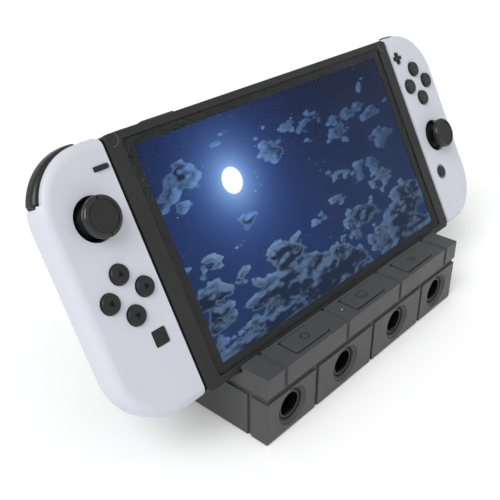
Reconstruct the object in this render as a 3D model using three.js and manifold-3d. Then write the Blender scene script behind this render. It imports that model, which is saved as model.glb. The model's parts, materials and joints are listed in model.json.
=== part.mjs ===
// A hybrid game console standing in its charging dock, with a detachable controller on each side.
// Millimetres, +X to the player's right, +Y away from the player, +Z up.
// The origin is on the table, under the middle of the dock.
import * as THREE from "three";
import { mergeVertices } from "three/addons/utils/BufferGeometryUtils.js";
import Module from "manifold-3d";

// ---------------------------------------------------------------- driving dimensions

// dock
const DOCK_WIDTH = 144;
const DOCK_DEPTH = 84;
const DOCK_HEIGHT = 32.7; // top of the front bar above the table
const DECK_HEIGHT = 26.5; // top of the flat deck behind the slot
const SPLIT_HEIGHT = 21.8; // where the lower housing meets the top cover
const DOCK_WALL = 2;
const FOOT_PROUD = 0.5; // how far the rubber foot lifts the housing
const BAY_WIDTH = 40.8; // pitch of the inner blocks between the grooves
const GROOVE_WIDTH = 2;
const GROOVE_DEPTH = 0.8;
const KEY_WIDTH = 21.2;
const KEY_DEPTH = 9.4;
const KEY_FRONT = 2.5; // front edge of the keys behind the front face
const KEY_PROUD = 0.5;
const KEY_TRAVEL = 0.6;
const LIGHT_RADIUS = 0.75;
const LIGHT_OFFSET = 4.5; // status light's centre from the side of the centre key
const SIDE_GROOVE_FRONT = 8.3; // groove down each end, behind the front face
const SOCKET_HEIGHT = 11; // socket centres above the table
const SOCKET_BEVEL_RADIUS = 8.6;
const SOCKET_RADIUS = 7.3;
const SOCKET_RECESS = 1.7;
const SOCKET_BORE_RADIUS = 5.2;
const SOCKET_FLAT = 4.1; // the flat of the bore below its centre
const SOCKET_DEPTH = 13;
const REST_LENGTH = 36; // how far the rest arms reach up the console's back
const REST_ARM_WIDTH = 12;
const REST_ARM_THICKNESS = 5; // at the crest
const REST_INSET = 3; // from the dock's ends
const REST_TAIL = 12; // the arms' foot in front of the dock's back
const FOOT_INSET = 7;
const FOOT_STRIPE = 9; // width of the rubber strip
const BOARD_THICKNESS = 1.6;
const BOARD_HEIGHT = 5.6; // underside of the dock's circuit board above the table
const REAR_PORT_HEIGHT = 11; // centres of the rear receptacles above the table
const REAR_PORT_DEPTH = 12;

// console
const LEAN = THREE.MathUtils.degToRad(29.2); // backwards from the vertical
const CONSOLE_WIDTH = 177.5;
const CONSOLE_HEIGHT = 100.5;
const CONSOLE_THICKNESS = 13.9;
const CONSOLE_CORNER = 2.2;
const CONSOLE_WALL = 1.8;
const CONSOLE_BACK_EDGE = 2; // rounding of the rear shell
const FRAME_THICKNESS = 4.6;
const SLOT_FRONT = 13.5; // the console's bottom front edge behind the dock's front face
const SLOT_FLOOR = 1.1425; // the slot's lowest line above the split
const GLASS_MARGIN_SIDE = 6.8;
const GLASS_MARGIN_END = 3.3;
const GLASS_THICKNESS = 0.7;
const PICTURE_MARGIN_SIDE = 4.4; // black border between the glass edge and the picture
const PICTURE_MARGIN_END = 3.4;
const KICKSTAND_WIDTH = 104;
const KICKSTAND_LENGTH = 38;
const KICKSTAND_THICKNESS = 1.6;
const KICKSTAND_BOTTOM = 14; // free edge above the console's bottom
const KICKSTAND_HINGE_GAP = 0.5; // beyond the hinge edge, so that it opens past the perpendicular
const FAN_RADIUS = 17.5;
const FAN_WALL = 1.2;
const FAN_BLADES = 9;
const VENT_COUNT = 9;
const VENT_PITCH = 6.5;
const VENT_WIDTH = 4;
const VENT_DEPTH = 3.2;
const EDGE_SET_BACK = 1.05; // controls along the top edge behind the middle of the thickness

// controllers
const CONTROLLER_WIDTH = 32.85;
const CONTROLLER_CORNER = 23;
const CONTROLLER_EDGE = 4; // rounding of the front edge
const CONTROLLER_WALL = 1.8;
const SIDE_OPENING = 8; // the shells are open towards the slider's plate, which closes them
const CONTROLLER_BACK_EDGE = 5; // rounding of the rear edge
const SHELL_SPLIT = 9.15; // front shell's depth, from the front face
const BUTTON_COLUMN = 14.5; // the stick and the four buttons, from the shells' inner side
const FACE_BUTTON_RADIUS = 3.65;
const FACE_BUTTON_PROUD = 1.4;
const FACE_BUTTON_REACH = 7.7; // from the middle of the four to each button
const STICK_HOLE_RADIUS = 8.2;
const STICK_CAP_RADIUS = 7.5;
const STICK_CAP_BOTTOM = 3.4; // above the front face
const STICK_CAP_HEIGHT = 3;
const STICK_POST = 1.2; // the stem's post inside the cap
const STICK_PIVOT_DEPTH = 7;
const SHOULDER_PROUD = 1; // shoulder button and trigger outside the shells' corner
const SHOULDER_THICKNESS = 3.4;
const SHOULDER_FRONT = 3.5; // its front edge behind the front face
const TRIGGER_THICKNESS = 5.7;
const TRIGGER_BACK = 15.9; // its rear edge behind the front face
const TRIGGER_FRONT_INSET = 1.2; // its outer face inside the shoulder button's, at its front edge
const TRIGGER_BACK_INSET = 4; // and at its rear edge
const SECTOR_START = 21; // degrees round the outer top corner
const SECTOR_END = 96;
const RELEASE_RADIUS = 2.6;

// rails
const RAIL_DEPTH = 3.6; // into the console's side
const RAIL_WIDTH = 8;
const RAIL_SET_BACK = 0.05; // the rails' centre line behind the middle of the thickness
const RAIL_FOOT = 4; // the rails' lower end above the console's bottom
const RAIL_END = 2; // thickness of the rails' closed lower end
const SLIDER_PLATE = 1;
const SLIDER_NECK = 2.4;
const SLIDER_HEAD = 4.6;
const SLIDER_HEAD_THICKNESS = 1.1;

// clearances
const FIT = 0.3; // between pieces that meet inside the leaning assembly
const SEAM = 0.25; // between the console's side and a controller
const BUTTON_GAP = 0.2; // round a button in its hole
const KEY_GAP = 0.4;
const SECTOR_GAP = 1.3; // inside the shoulder button and the trigger, for their travel
const SECTOR_END_GAP = 2.6; // degrees past each of their ends, for the same
const SLOT_GAP = 0.35; // under and behind the console in the dock
const SLOT_FRONT_GAP = 0.78;
const JOINT_GAP = 0.05; // between the dock's mating parts

// ---------------------------------------------------------------- solids

const wasm = await Module();
wasm.setup();

// A closed geometry as a solid that can be joined and cut.
function solid(geometry) {
  const bare = geometry.index ? geometry.toNonIndexed() : geometry.clone();
  bare.deleteAttribute("normal");
  bare.deleteAttribute("uv");
  const merged = mergeVertices(bare, 1e-4);
  return new wasm.Manifold(
    new wasm.Mesh({
      numProp: 3,
      vertProperties: merged.attributes.position.array,
      triVerts: new Uint32Array(merged.index.array),
    }),
  );
}

function geometryOf(body) {
  const mesh = body.getMesh();
  const positions = new Float32Array(mesh.numVert * 3);
  for (let i = 0; i < mesh.numVert; i++) {
    const start = i * mesh.numProp;
    positions.set(mesh.vertProperties.subarray(start, start + 3), i * 3);
  }
  const geometry = new THREE.BufferGeometry();
  geometry.setAttribute("position", new THREE.BufferAttribute(positions, 3));
  geometry.setIndex(new THREE.BufferAttribute(new Uint32Array(mesh.triVerts), 1));
  geometry.computeVertexNormals();
  return geometry;
}

function cutAll(body, cutters) {
  return cutters.reduce((rest, cutter) => rest.subtract(cutter), body);
}

function joinAll(bodies) {
  return bodies.reduce((whole, body) => whole.add(body));
}

function block([x0, x1], [y0, y1], [z0, z1]) {
  const geometry = new THREE.BoxGeometry(x1 - x0, y1 - y0, z1 - z0);
  geometry.translate((x0 + x1) / 2, (y0 + y1) / 2, (z0 + z1) / 2);
  return solid(geometry);
}

// A shape in the XY plane, swept from z0 to z1.
function prism(shape, z0, z1, curveSegments = 6) {
  const options = { depth: z1 - z0, bevelEnabled: false, curveSegments };
  return solid(new THREE.ExtrudeGeometry(shape, options).translate(0, 0, z0));
}

// The same with both end edges rounded.
function softPrism(shape, z0, z1, radius, steps = 3, curveSegments = 6) {
  const options = {
    depth: z1 - z0 - 2 * radius,
    bevelThickness: radius,
    bevelSize: radius,
    bevelOffset: -radius,
    bevelSegments: steps,
    curveSegments,
  };
  return solid(new THREE.ExtrudeGeometry(shape, options).translate(0, 0, z0 + radius));
}

// A profile of (Y, Z) points, swept along X.
function sweepX(points, [x0, x1]) {
  const shape = new THREE.Shape(points.map(([y, z]) => new THREE.Vector2(y, z)));
  const options = { depth: x1 - x0, bevelEnabled: false };
  const geometry = new THREE.ExtrudeGeometry(shape, options);
  geometry.rotateX(Math.PI / 2).rotateZ(Math.PI / 2).translate(x0, 0, 0);
  return solid(geometry);
}

// A profile of (radius, height) points turned about Z; it starts and ends on the axis, or closes on itself.
function turned(profile, segments = 24) {
  const points = profile.map(([r, z]) => new THREE.Vector2(r, z));
  const outline = THREE.ShapeUtils.isClockWise(points) ? points.toReversed() : points;
  return solid(new THREE.LatheGeometry(outline, segments).rotateX(Math.PI / 2));
}

function ring(innerRadius, outerRadius, z0, z1, segments = 24) {
  const corners = [
    [innerRadius, z0],
    [outerRadius, z0],
    [outerRadius, z1],
    [innerRadius, z1],
    [innerRadius, z0],
  ];
  return turned(corners, segments);
}

function rod(radius, z0, z1, segments = 24) {
  const geometry = new THREE.CylinderGeometry(radius, radius, z1 - z0, segments);
  return solid(geometry.rotateX(Math.PI / 2).translate(0, 0, (z0 + z1) / 2));
}

function rodAlongX(radius, [x0, x1], y, z, segments = 12) {
  const geometry = new THREE.CylinderGeometry(radius, radius, x1 - x0, segments);
  return solid(geometry.rotateZ(Math.PI / 2).translate((x0 + x1) / 2, y, z));
}

function rodAlongY(radius, x, [y0, y1], z, segments = 24) {
  const geometry = new THREE.CylinderGeometry(radius, radius, y1 - y0, segments);
  return solid(geometry.translate(x, (y0 + y1) / 2, z));
}

// ---------------------------------------------------------------- outlines

function roundedRectangle([x0, x1], [y0, y1], radius) {
  const shape = new THREE.Shape();
  shape.moveTo(x0 + radius, y0);
  shape.lineTo(x1 - radius, y0);
  shape.absarc(x1 - radius, y0 + radius, radius, -Math.PI / 2, 0);
  shape.lineTo(x1, y1 - radius);
  shape.absarc(x1 - radius, y1 - radius, radius, 0, Math.PI / 2);
  shape.lineTo(x0 + radius, y1);
  shape.absarc(x0 + radius, y1 - radius, radius, Math.PI / 2, Math.PI);
  shape.lineTo(x0, y0 + radius);
  shape.absarc(x0 + radius, y0 + radius, radius, Math.PI, 1.5 * Math.PI);
  return shape;
}

function circle(radius, x = 0, y = 0) {
  const shape = new THREE.Shape();
  shape.absarc(x, y, radius, 0, 2 * Math.PI);
  return shape;
}

// Part of a ring about (x, y), between two radii and two angles in degrees.
function ringSector(x, y, innerRadius, outerRadius, startDegrees, endDegrees) {
  const start = THREE.MathUtils.degToRad(startDegrees);
  const end = THREE.MathUtils.degToRad(endDegrees);
  const shape = new THREE.Shape();
  shape.absarc(x, y, outerRadius, start, end);
  shape.absarc(x, y, innerRadius, end, start, true);
  shape.closePath();
  return shape;
}

function cross(reach, arm) {
  const half = arm / 2;
  const corners = [
    [reach, -half],
    [reach, half],
    [half, half],
    [half, reach],
    [-half, reach],
    [-half, half],
    [-reach, half],
    [-reach, -half],
    [-half, -half],
    [-half, -reach],
    [half, -reach],
    [half, -half],
  ];
  return new THREE.Shape(corners.map(([x, y]) => new THREE.Vector2(x, y)));
}

// ---------------------------------------------------------------- colours

const FINISHES = {
  white: { color: "#d4d6de", roughness: 0.42, metalness: 0 },
  black: { color: "#333334", roughness: 0.4, metalness: 0 },
  frame: { color: "#353535", roughness: 0.45, metalness: 0 },
  dock: { color: "#4b4b4d", roughness: 0.55, metalness: 0 },
  dark: { color: "#161617", roughness: 0.6, metalness: 0 },
  glass: { color: "#0b0d12", roughness: 0.08, metalness: 0 },
  picture: { color: "#1c3470", roughness: 0.3, metalness: 0 },
  rubber: { color: "#242424", roughness: 0.9, metalness: 0 },
  light: { color: "#b8f5cf", roughness: 0.3, metalness: 0 },
  board: { color: "#1f5a3a", roughness: 0.6, metalness: 0 },
  metal: { color: "#a8aab0", roughness: 0.35, metalness: 1 },
};

function node(name, body, finish) {
  const mesh = new THREE.Mesh(
    geometryOf(body),
    new THREE.MeshStandardMaterial(FINISHES[finish]),
  );
  mesh.name = name;
  return mesh;
}

// ---------------------------------------------------------------- dock

const dockHalf = DOCK_WIDTH / 2;
const dockFront = -DOCK_DEPTH / 2;
const dockBack = DOCK_DEPTH / 2;
const innerHalf = dockHalf - DOCK_WALL;
const leanSin = Math.sin(LEAN);
const leanCos = Math.cos(LEAN);
const hingeY = dockFront + SLOT_FRONT;
// The console's bottom front edge: its bottom rear edge rests just above the slot's lowest line.
const slotHeight =
  SPLIT_HEIGHT + SLOT_FLOOR + SLOT_GAP * leanCos + (CONSOLE_THICKNESS + SLOT_GAP) * leanSin;

// Where a point of the leaning console is in the dock's (Y, Z): v runs up its front, n out of its front.
function leanPoint(v, n) {
  return [hingeY + v * leanSin - n * leanCos, slotHeight + v * leanCos + n * leanSin];
}

// The point at height z on the plane that is n in front of the console's front.
function leanPointAtHeight(z, n) {
  const v = (z - slotHeight - n * leanSin) / leanCos;
  return leanPoint(v, n);
}

const outerBay = dockHalf - BAY_WIDTH;
const socketCentres = [
  -(BAY_WIDTH + outerBay / 2),
  -BAY_WIDTH / 2,
  BAY_WIDTH / 2,
  BAY_WIDTH + outerBay / 2,
];
const keyCentres = { left: -BAY_WIDTH, centre: 0, right: BAY_WIDTH };
const keyNear = dockFront + KEY_FRONT;
const keyFar = keyNear + KEY_DEPTH;
const lightX = -KEY_WIDTH / 2 - LIGHT_OFFSET;
const lightY = keyNear + KEY_DEPTH / 2;
const slotBack = -CONSOLE_THICKNESS - SLOT_GAP;
const plugDepth = -CONSOLE_THICKNESS / 2; // middle of the console's thickness
const plugFlange = { halfWidth: 7, halfThickness: 2.6, bottom: -5, top: -1 };
const rearPorts = [
  { x: -26, width: 9.4, height: 3.6 },
  { x: -2, width: 15.4, height: 5.4 },
  { x: 24, width: 13.2, height: 5.8 },
];

// Upright grooves in a front face at the given X places, between two heights.
function frontGrooves(places, z0, z1) {
  return places.map((x) =>
    block(
      [x - GROOVE_WIDTH / 2, x + GROOVE_WIDTH / 2],
      [dockFront - 1, dockFront + GROOVE_DEPTH],
      [z0, z1],
    ),
  );
}

// The band round all four sides, cut as deep as the grooves.
function groundBand(z0, z1) {
  const outside = block([-dockHalf - 1, dockHalf + 1], [dockFront - 1, dockBack + 1], [z0, z1]);
  const core = block(
    [-dockHalf + GROOVE_DEPTH, dockHalf - GROOVE_DEPTH],
    [dockFront + GROOVE_DEPTH, dockBack - GROOVE_DEPTH],
    [z0 - 1, z1 + 1],
  );
  return outside.subtract(core);
}

function dockLowerHousing() {
  const top = SPLIT_HEIGHT - JOINT_GAP;
  const outer = block([-dockHalf, dockHalf], [dockFront, dockBack], [FOOT_PROUD, top]);
  const inside = block(
    [-innerHalf, innerHalf],
    [dockFront + DOCK_WALL + GROOVE_DEPTH, dockBack - DOCK_WALL],
    [FOOT_PROUD - 1, top + 1],
  );
  const sideGrooveFront = dockFront + SIDE_GROOVE_FRONT;
  const sideGrooves = [-1, 1].map((side) =>
    block(
      side < 0
        ? [-dockHalf - 1, -dockHalf + GROOVE_DEPTH]
        : [dockHalf - GROOVE_DEPTH, dockHalf + 1],
      [sideGrooveFront, sideGrooveFront + GROOVE_WIDTH],
      [FOOT_PROUD - 1, top + 1],
    ),
  );
  const sockets = socketCentres.map((x) => {
    const mouth = turned([
      [0, -1],
      [SOCKET_BEVEL_RADIUS + 0.7, -1],
      [SOCKET_BEVEL_RADIUS - 0.5, 0.8],
      [SOCKET_RADIUS, 1.3],
      [SOCKET_RADIUS, DOCK_WALL + GROOVE_DEPTH + 1],
      [0, DOCK_WALL + GROOVE_DEPTH + 1],
    ]);
    return mouth.rotate([-90, 0, 0]).translate([x, dockFront, SOCKET_HEIGHT]);
  });
  const rear = rearPorts.map(({ x, width, height }) =>
    block(
      [x - width / 2, x + width / 2],
      [dockBack - DOCK_WALL - 1, dockBack + 1],
      [REAR_PORT_HEIGHT - height / 2, REAR_PORT_HEIGHT + height / 2],
    ),
  );
  return cutAll(outer, [
    inside,
    ...frontGrooves([-BAY_WIDTH, 0, BAY_WIDTH], FOOT_PROUD - 1, top + 1),
    ...sideGrooves,
    groundBand(SPLIT_HEIGHT - GROOVE_WIDTH / 3, top + 1),
    ...sockets,
    ...rear,
  ]);
}

function dockTopCover() {
  const bottom = SPLIT_HEIGHT;
  const wall = DOCK_WALL;
  const frontInner = dockFront + wall + GROOVE_DEPTH;
  const slotMouth = leanPointAtHeight(DOCK_HEIGHT, SLOT_FRONT_GAP);
  const slotFoot = leanPoint(-SLOT_GAP, SLOT_FRONT_GAP);
  const slotHeel = leanPoint(-SLOT_GAP, slotBack);
  const deckEdge = leanPointAtHeight(DECK_HEIGHT, slotBack);
  const top = [
    [dockFront, bottom],
    [dockFront, DOCK_HEIGHT],
    slotMouth,
    slotFoot,
    slotHeel,
    deckEdge,
    [dockBack, DECK_HEIGHT],
    [dockBack, bottom],
  ];
  const underside = [
    [dockBack - wall, bottom],
    [dockBack - wall, DECK_HEIGHT - wall],
    leanPointAtHeight(DECK_HEIGHT - wall, slotBack - wall),
    leanPoint(-SLOT_GAP - wall, slotBack - wall),
    leanPoint(-SLOT_GAP - wall, SLOT_FRONT_GAP + wall),
    leanPointAtHeight(DOCK_HEIGHT - wall, SLOT_FRONT_GAP + 1),
    [frontInner, DOCK_HEIGHT - wall],
    [frontInner, bottom],
  ];
  const sheet = sweepX([...top, ...underside], [-innerHalf + FIT, innerHalf - FIT]);
  const ends = [
    [-dockHalf, -innerHalf + FIT],
    [innerHalf - FIT, dockHalf],
  ].map((span) => sweepX(top, span));
  const keyHoles = Object.values(keyCentres).map((x) =>
    block(
      [x - KEY_WIDTH / 2 - KEY_GAP, x + KEY_WIDTH / 2 + KEY_GAP],
      [keyNear - KEY_GAP, keyFar + KEY_GAP],
      [DOCK_HEIGHT - wall - JOINT_GAP, DOCK_HEIGHT + 1],
    ),
  );
  const upperPlaces = [-1.5, -0.5, 0.5, 1.5].map((step) => step * BAY_WIDTH);
  const topGrooves = upperPlaces.map((x) =>
    block(
      [x - GROOVE_WIDTH / 2, x + GROOVE_WIDTH / 2],
      [dockFront - 1, slotMouth[0] + 1],
      [DOCK_HEIGHT - GROOVE_DEPTH, DOCK_HEIGHT + 1],
    ),
  );
  const lightHole = rod(LIGHT_RADIUS + 0.15, DOCK_HEIGHT - wall - 1, DOCK_HEIGHT + 1, 12);
  return cutAll(joinAll([sheet, ...ends]), [
    ...keyHoles,
    ...frontGrooves(upperPlaces, bottom - 1, DOCK_HEIGHT + 1),
    ...topGrooves,
    groundBand(bottom - 1, bottom + (GROOVE_WIDTH * 2) / 3),
    lightHole.translate([lightX, lightY, 0]),
    plugHole(),
  ]);
}

// The opening in the slot's floor for the docking plug, leaning with the console.
function plugHole() {
  const { halfWidth, halfThickness } = plugFlange;
  const hole = block(
    [-halfWidth - FIT, halfWidth + FIT],
    [-SLOT_GAP - DOCK_WALL - 1, -SLOT_GAP + 1],
    [plugDepth - halfThickness - FIT, plugDepth + halfThickness + FIT],
  );
  return hole.rotate([90 - THREE.MathUtils.radToDeg(LEAN), 0, 0]).translate([0, hingeY, slotHeight]);
}

function dockBasePlate() {
  return block(
    [-innerHalf + FIT, innerHalf - FIT],
    [dockFront + DOCK_WALL + GROOVE_DEPTH + FIT, dockBack - DOCK_WALL - FIT],
    [FOOT_PROUD, FOOT_PROUD + DOCK_WALL],
  );
}

// One rubber foot runs round under the dock, glued to the base plate and 0.5 mm proud of it.
function dockFoot() {
  const outer = {
    half: dockHalf - FOOT_INSET,
    front: dockFront + FOOT_INSET,
    back: dockBack - FOOT_INSET,
  };
  const stripe = FOOT_STRIPE;
  const pad = prism(
    roundedRectangle([-outer.half, outer.half], [outer.front, outer.back], 4),
    0,
    FOOT_PROUD - JOINT_GAP,
    3,
  );
  const gap = prism(
    roundedRectangle(
      [-outer.half + stripe, outer.half - stripe],
      [outer.front + stripe, outer.back - stripe],
      2,
    ),
    -1,
    FOOT_PROUD + 1,
    2,
  );
  return pad.subtract(gap);
}

// Two leaning arms that carry the console's back, joined by a low bar along the deck.
function dockBackRest() {
  const bottom = DECK_HEIGHT + JOINT_GAP;
  const heel = leanPointAtHeight(bottom, slotBack);
  const crest = leanPoint(REST_LENGTH, slotBack);
  const crestBack = leanPoint(REST_LENGTH, slotBack - REST_ARM_THICKNESS);
  const tail = [dockBack - REST_TAIL, bottom];
  const outerX = dockHalf - REST_INSET;
  const arms = [
    [-outerX, -outerX + REST_ARM_WIDTH],
    [outerX - REST_ARM_WIDTH, outerX],
  ].map((span) => sweepX([heel, crest, crestBack, tail], span));
  const barBack = tail[0] - 2;
  const bar = block([-outerX + 1, outerX - 1], [barBack - 8, barBack], [bottom, bottom + 3]);
  return joinAll([...arms, bar]);
}

// A key's cap fills its opening; a shorter foot under it carries the flange that holds it in.
function dockKey(x) {
  const capBottom = DOCK_HEIGHT - DOCK_WALL + KEY_TRAVEL;
  const cap = softPrism(
    roundedRectangle([x - KEY_WIDTH / 2, x + KEY_WIDTH / 2], [keyNear, keyFar], 1.5),
    capBottom,
    DOCK_HEIGHT + KEY_PROUD,
    0.4,
    1,
    3,
  );
  const footDepth = [dockFront + DOCK_WALL + GROOVE_DEPTH + FIT, keyFar - 2.4];
  const flangeTop = DOCK_HEIGHT - DOCK_WALL - FIT;
  const lip = 1.6;
  const foot = block(
    [x - KEY_WIDTH / 2 + 1, x + KEY_WIDTH / 2 - 1],
    footDepth,
    [flangeTop - 0.5, capBottom + 0.6],
  );
  const flange = block(
    [x - KEY_WIDTH / 2 - lip, x + KEY_WIDTH / 2 + lip],
    footDepth,
    [flangeTop - 1, flangeTop],
  );
  return joinAll([cap, foot, flange]);
}

function statusLight() {
  const pipe = rod(LIGHT_RADIUS, DOCK_HEIGHT - 6, DOCK_HEIGHT + 0.15, 12);
  return pipe.translate([lightX, lightY, 0]);
}

// A round socket: an annular floor inside the bevelled mouth, and a keyed bore with a flat underneath.
// It is drawn facing up, with +Y the side that ends underneath.
function controllerPort(x) {
  const start = SOCKET_RECESS;
  const end = start + SOCKET_DEPTH;
  const outer = rod(SOCKET_RADIUS - 0.1, start, end);
  const bore = rod(SOCKET_BORE_RADIUS, start - 1, end - DOCK_WALL);
  const flat = block([-4, 4], [SOCKET_FLAT, SOCKET_BORE_RADIUS + 1], [start, end - 1]);
  const key = block([-1, 1], [-SOCKET_BORE_RADIUS - 1, -3.9], [start + 2, end - 1]);
  const post = rod(1.9, start + 4, end - 1, 12);
  const body = joinAll([outer.subtract(bore), flat.add(key).intersect(outer), post]);
  return body.rotate([-90, 0, 0]).translate([x, dockFront, SOCKET_HEIGHT]);
}

function dockCircuitBoard() {
  const front = dockFront + SOCKET_RECESS + SOCKET_DEPTH + 4;
  return block(
    [-innerHalf + 6, innerHalf - 6],
    [front, dockBack - DOCK_WALL - 3],
    [BOARD_HEIGHT, BOARD_HEIGHT + BOARD_THICKNESS],
  );
}

// The rear receptacles, in one block that stands on the circuit board.
function rearPortBlock() {
  const front = dockBack - DOCK_WALL - REAR_PORT_DEPTH;
  const back = dockBack - DOCK_WALL - JOINT_GAP;
  const bottom = BOARD_HEIGHT + BOARD_THICKNESS + JOINT_GAP;
  const margin = 2;
  const first = rearPorts[0];
  const last = rearPorts[rearPorts.length - 1];
  const body = block(
    [first.x - first.width / 2 - margin, last.x + last.width / 2 + margin],
    [front, back],
    [bottom, REAR_PORT_HEIGHT + 4.2],
  );
  const cavities = rearPorts.map(({ x, width, height }) =>
    block(
      [x - width / 2, x + width / 2],
      [front + margin, back + 1],
      [REAR_PORT_HEIGHT - height / 2, REAR_PORT_HEIGHT + height / 2],
    ),
  );
  return cutAll(body, cavities);
}

// The plug that enters the console's bottom; drawn in the leaning frame.
function dockingPlug() {
  const { halfWidth, halfThickness, bottom, top } = plugFlange;
  const flange = block(
    [-halfWidth, halfWidth],
    [bottom, top],
    [plugDepth - halfThickness, plugDepth + halfThickness],
  );
  const tongue = block([-4.15, 4.15], [top - 1, 6], [plugDepth - 1.2, plugDepth + 1.2]);
  return flange.add(tongue);
}

// ---------------------------------------------------------------- console, in the leaning frame

const half = CONSOLE_WIDTH / 2;
const glassX = half - GLASS_MARGIN_SIDE;
const glassY = [GLASS_MARGIN_END, CONSOLE_HEIGHT - GLASS_MARGIN_END];
const pictureX = glassX - PICTURE_MARGIN_SIDE;
const pictureY = [glassY[0] + PICTURE_MARGIN_END, glassY[1] - PICTURE_MARGIN_END];
const railMiddle = -CONSOLE_THICKNESS / 2 - RAIL_SET_BACK;
const railInner = half - RAIL_DEPTH;
const shellInside = half - RAIL_DEPTH - FIT - CONSOLE_WALL;
const hingeHeight = KICKSTAND_BOTTOM + KICKSTAND_LENGTH;
const hingeDepth = -CONSOLE_THICKNESS + KICKSTAND_THICKNESS / 2;
const recessFloor = -CONSOLE_THICKNESS + KICKSTAND_THICKNESS + FIT;
const cavityFloor = recessFloor + CONSOLE_WALL - 0.2; // inside the shell, over the kickstand
const cavityFront = -FRAME_THICKNESS - 1;
const wallInset = CONSOLE_WALL + 0.7; // the top and bottom walls are thicker than the back
const edgeMiddle = -CONSOLE_THICKNESS / 2 - EDGE_SET_BACK;
const volume = { x: -57.5, width: 17, depth: 3.2, proud: 0.9 };
const power = { x: -76, width: 6, depth: 3.2, proud: 0.5 };
const cardCover = {
  x: 60,
  width: 24,
  back: -CONSOLE_THICKNESS + 2.9,
  front: cavityFront,
  thickness: 1,
};
const fan = {
  x: -50,
  y: CONSOLE_HEIGHT - FAN_RADIUS - 8.5,
  back: -CONSOLE_THICKNESS + CONSOLE_WALL + 0.5,
  front: cavityFront,
};

function consoleOutline(inset = 0) {
  return roundedRectangle(
    [-half + inset, half - inset],
    [inset, CONSOLE_HEIGHT - inset],
    CONSOLE_CORNER,
  );
}

// The space for the two rails, open towards the sides and the top.
function railCuts() {
  return [-1, 1].map((side) => {
    const span = [railInner - FIT, half + 1];
    return block(
      side < 0 ? [-span[1], -span[0]] : span,
      [RAIL_FOOT - FIT, CONSOLE_HEIGHT + 1],
      [railMiddle - RAIL_WIDTH / 2 - FIT, railMiddle + RAIL_WIDTH / 2 + FIT],
    );
  });
}

function consoleFrontFrame() {
  const blank = softPrism(consoleOutline(), -FRAME_THICKNESS - 3, 0, 0.5, 1, 3);
  const slab = blank.intersect(
    block([-half - 1, half + 1], [-1, CONSOLE_HEIGHT + 1], [-FRAME_THICKNESS, 1]),
  );
  const glassPocket = prism(
    roundedRectangle(
      [-glassX - BUTTON_GAP, glassX + BUTTON_GAP],
      [glassY[0] - BUTTON_GAP, glassY[1] + BUTTON_GAP],
      1.4,
    ),
    -GLASS_THICKNESS - 0.1 - FIT / 2,
    1,
    3,
  );
  const window = block(
    [-pictureX - FIT, pictureX + FIT],
    [pictureY[0] - FIT, pictureY[1] + FIT],
    [-FRAME_THICKNESS - 1, 1],
  );
  const inside = block(
    [-shellInside, shellInside],
    [wallInset, CONSOLE_HEIGHT - wallInset],
    [-FRAME_THICKNESS - 1, -GLASS_THICKNESS - 2],
  );
  return cutAll(slab, [glassPocket, window, inside, ...railCuts()]);
}

function coverGlass() {
  return prism(
    roundedRectangle([-glassX, glassX], glassY, 1.2),
    -GLASS_THICKNESS - 0.05,
    -0.05,
    3,
  );
}

function displayPanel() {
  return block([-pictureX, pictureX], pictureY, [-GLASS_THICKNESS - 2, -GLASS_THICKNESS - FIT - 0.1]);
}

function consoleRearShell() {
  const blank = softPrism(consoleOutline(), -CONSOLE_THICKNESS, 4, CONSOLE_BACK_EDGE, 2, 3);
  const front = -FRAME_THICKNESS - 0.2;
  const tub = blank.intersect(
    block([-half - 1, half + 1], [-1, CONSOLE_HEIGHT + 1], [-CONSOLE_THICKNESS - 1, front]),
  );
  const shallow = block(
    [-shellInside, shellInside],
    [wallInset, CONSOLE_HEIGHT - wallInset],
    [cavityFloor, front + 1],
  );
  const deep = block(
    [-shellInside, shellInside],
    [hingeHeight + 4, CONSOLE_HEIGHT - wallInset],
    [-CONSOLE_THICKNESS + CONSOLE_WALL, front],
  );
  const standRecess = block(
    [-KICKSTAND_WIDTH / 2 - FIT, KICKSTAND_WIDTH / 2 + FIT],
    [KICKSTAND_BOTTOM - 1, hingeHeight + KICKSTAND_THICKNESS / 2 + KICKSTAND_HINGE_GAP],
    [-CONSOLE_THICKNESS - 1, recessFloor],
  );
  const plugOpening = block(
    [-4.7, 4.7],
    [-1, wallInset + 1],
    [plugDepth - 1.7, plugDepth + 1.7],
  );
  const topControls = [volume, power].map(({ x, width, depth }) =>
    block(
      [x - width / 2 - FIT, x + width / 2 + FIT],
      [CONSOLE_HEIGHT - wallInset - 1, CONSOLE_HEIGHT + 1],
      [edgeMiddle - depth / 2 - FIT, edgeMiddle + depth / 2 + FIT],
    ),
  );
  const cardSeat = block(
    [cardCover.x - cardCover.width / 2 - FIT, cardCover.x + cardCover.width / 2 + FIT],
    [CONSOLE_HEIGHT - cardCover.thickness - FIT, CONSOLE_HEIGHT + 1],
    [cardCover.back - 0.8, cardCover.front + FIT],
  );
  const cardSlot = block(
    [cardCover.x - cardCover.width / 2 + 1, cardCover.x + cardCover.width / 2 - 1],
    [CONSOLE_HEIGHT - wallInset - 1, CONSOLE_HEIGHT],
    [cardCover.back + 1.2, cardCover.front - 0.6],
  );
  const vents = Array.from({ length: VENT_COUNT }, (_, i) => {
    const x = (i - (VENT_COUNT - 1) / 2) * VENT_PITCH;
    return block(
      [x - VENT_WIDTH / 2, x + VENT_WIDTH / 2],
      [CONSOLE_HEIGHT - wallInset - 1, CONSOLE_HEIGHT + 1],
      [edgeMiddle - VENT_DEPTH / 2, edgeMiddle + VENT_DEPTH / 2],
    );
  });
  return cutAll(tub, [
    shallow,
    deep,
    standRecess,
    plugOpening,
    ...topControls,
    cardSeat,
    cardSlot,
    ...vents,
    ...railCuts(),
  ]);
}

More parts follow.
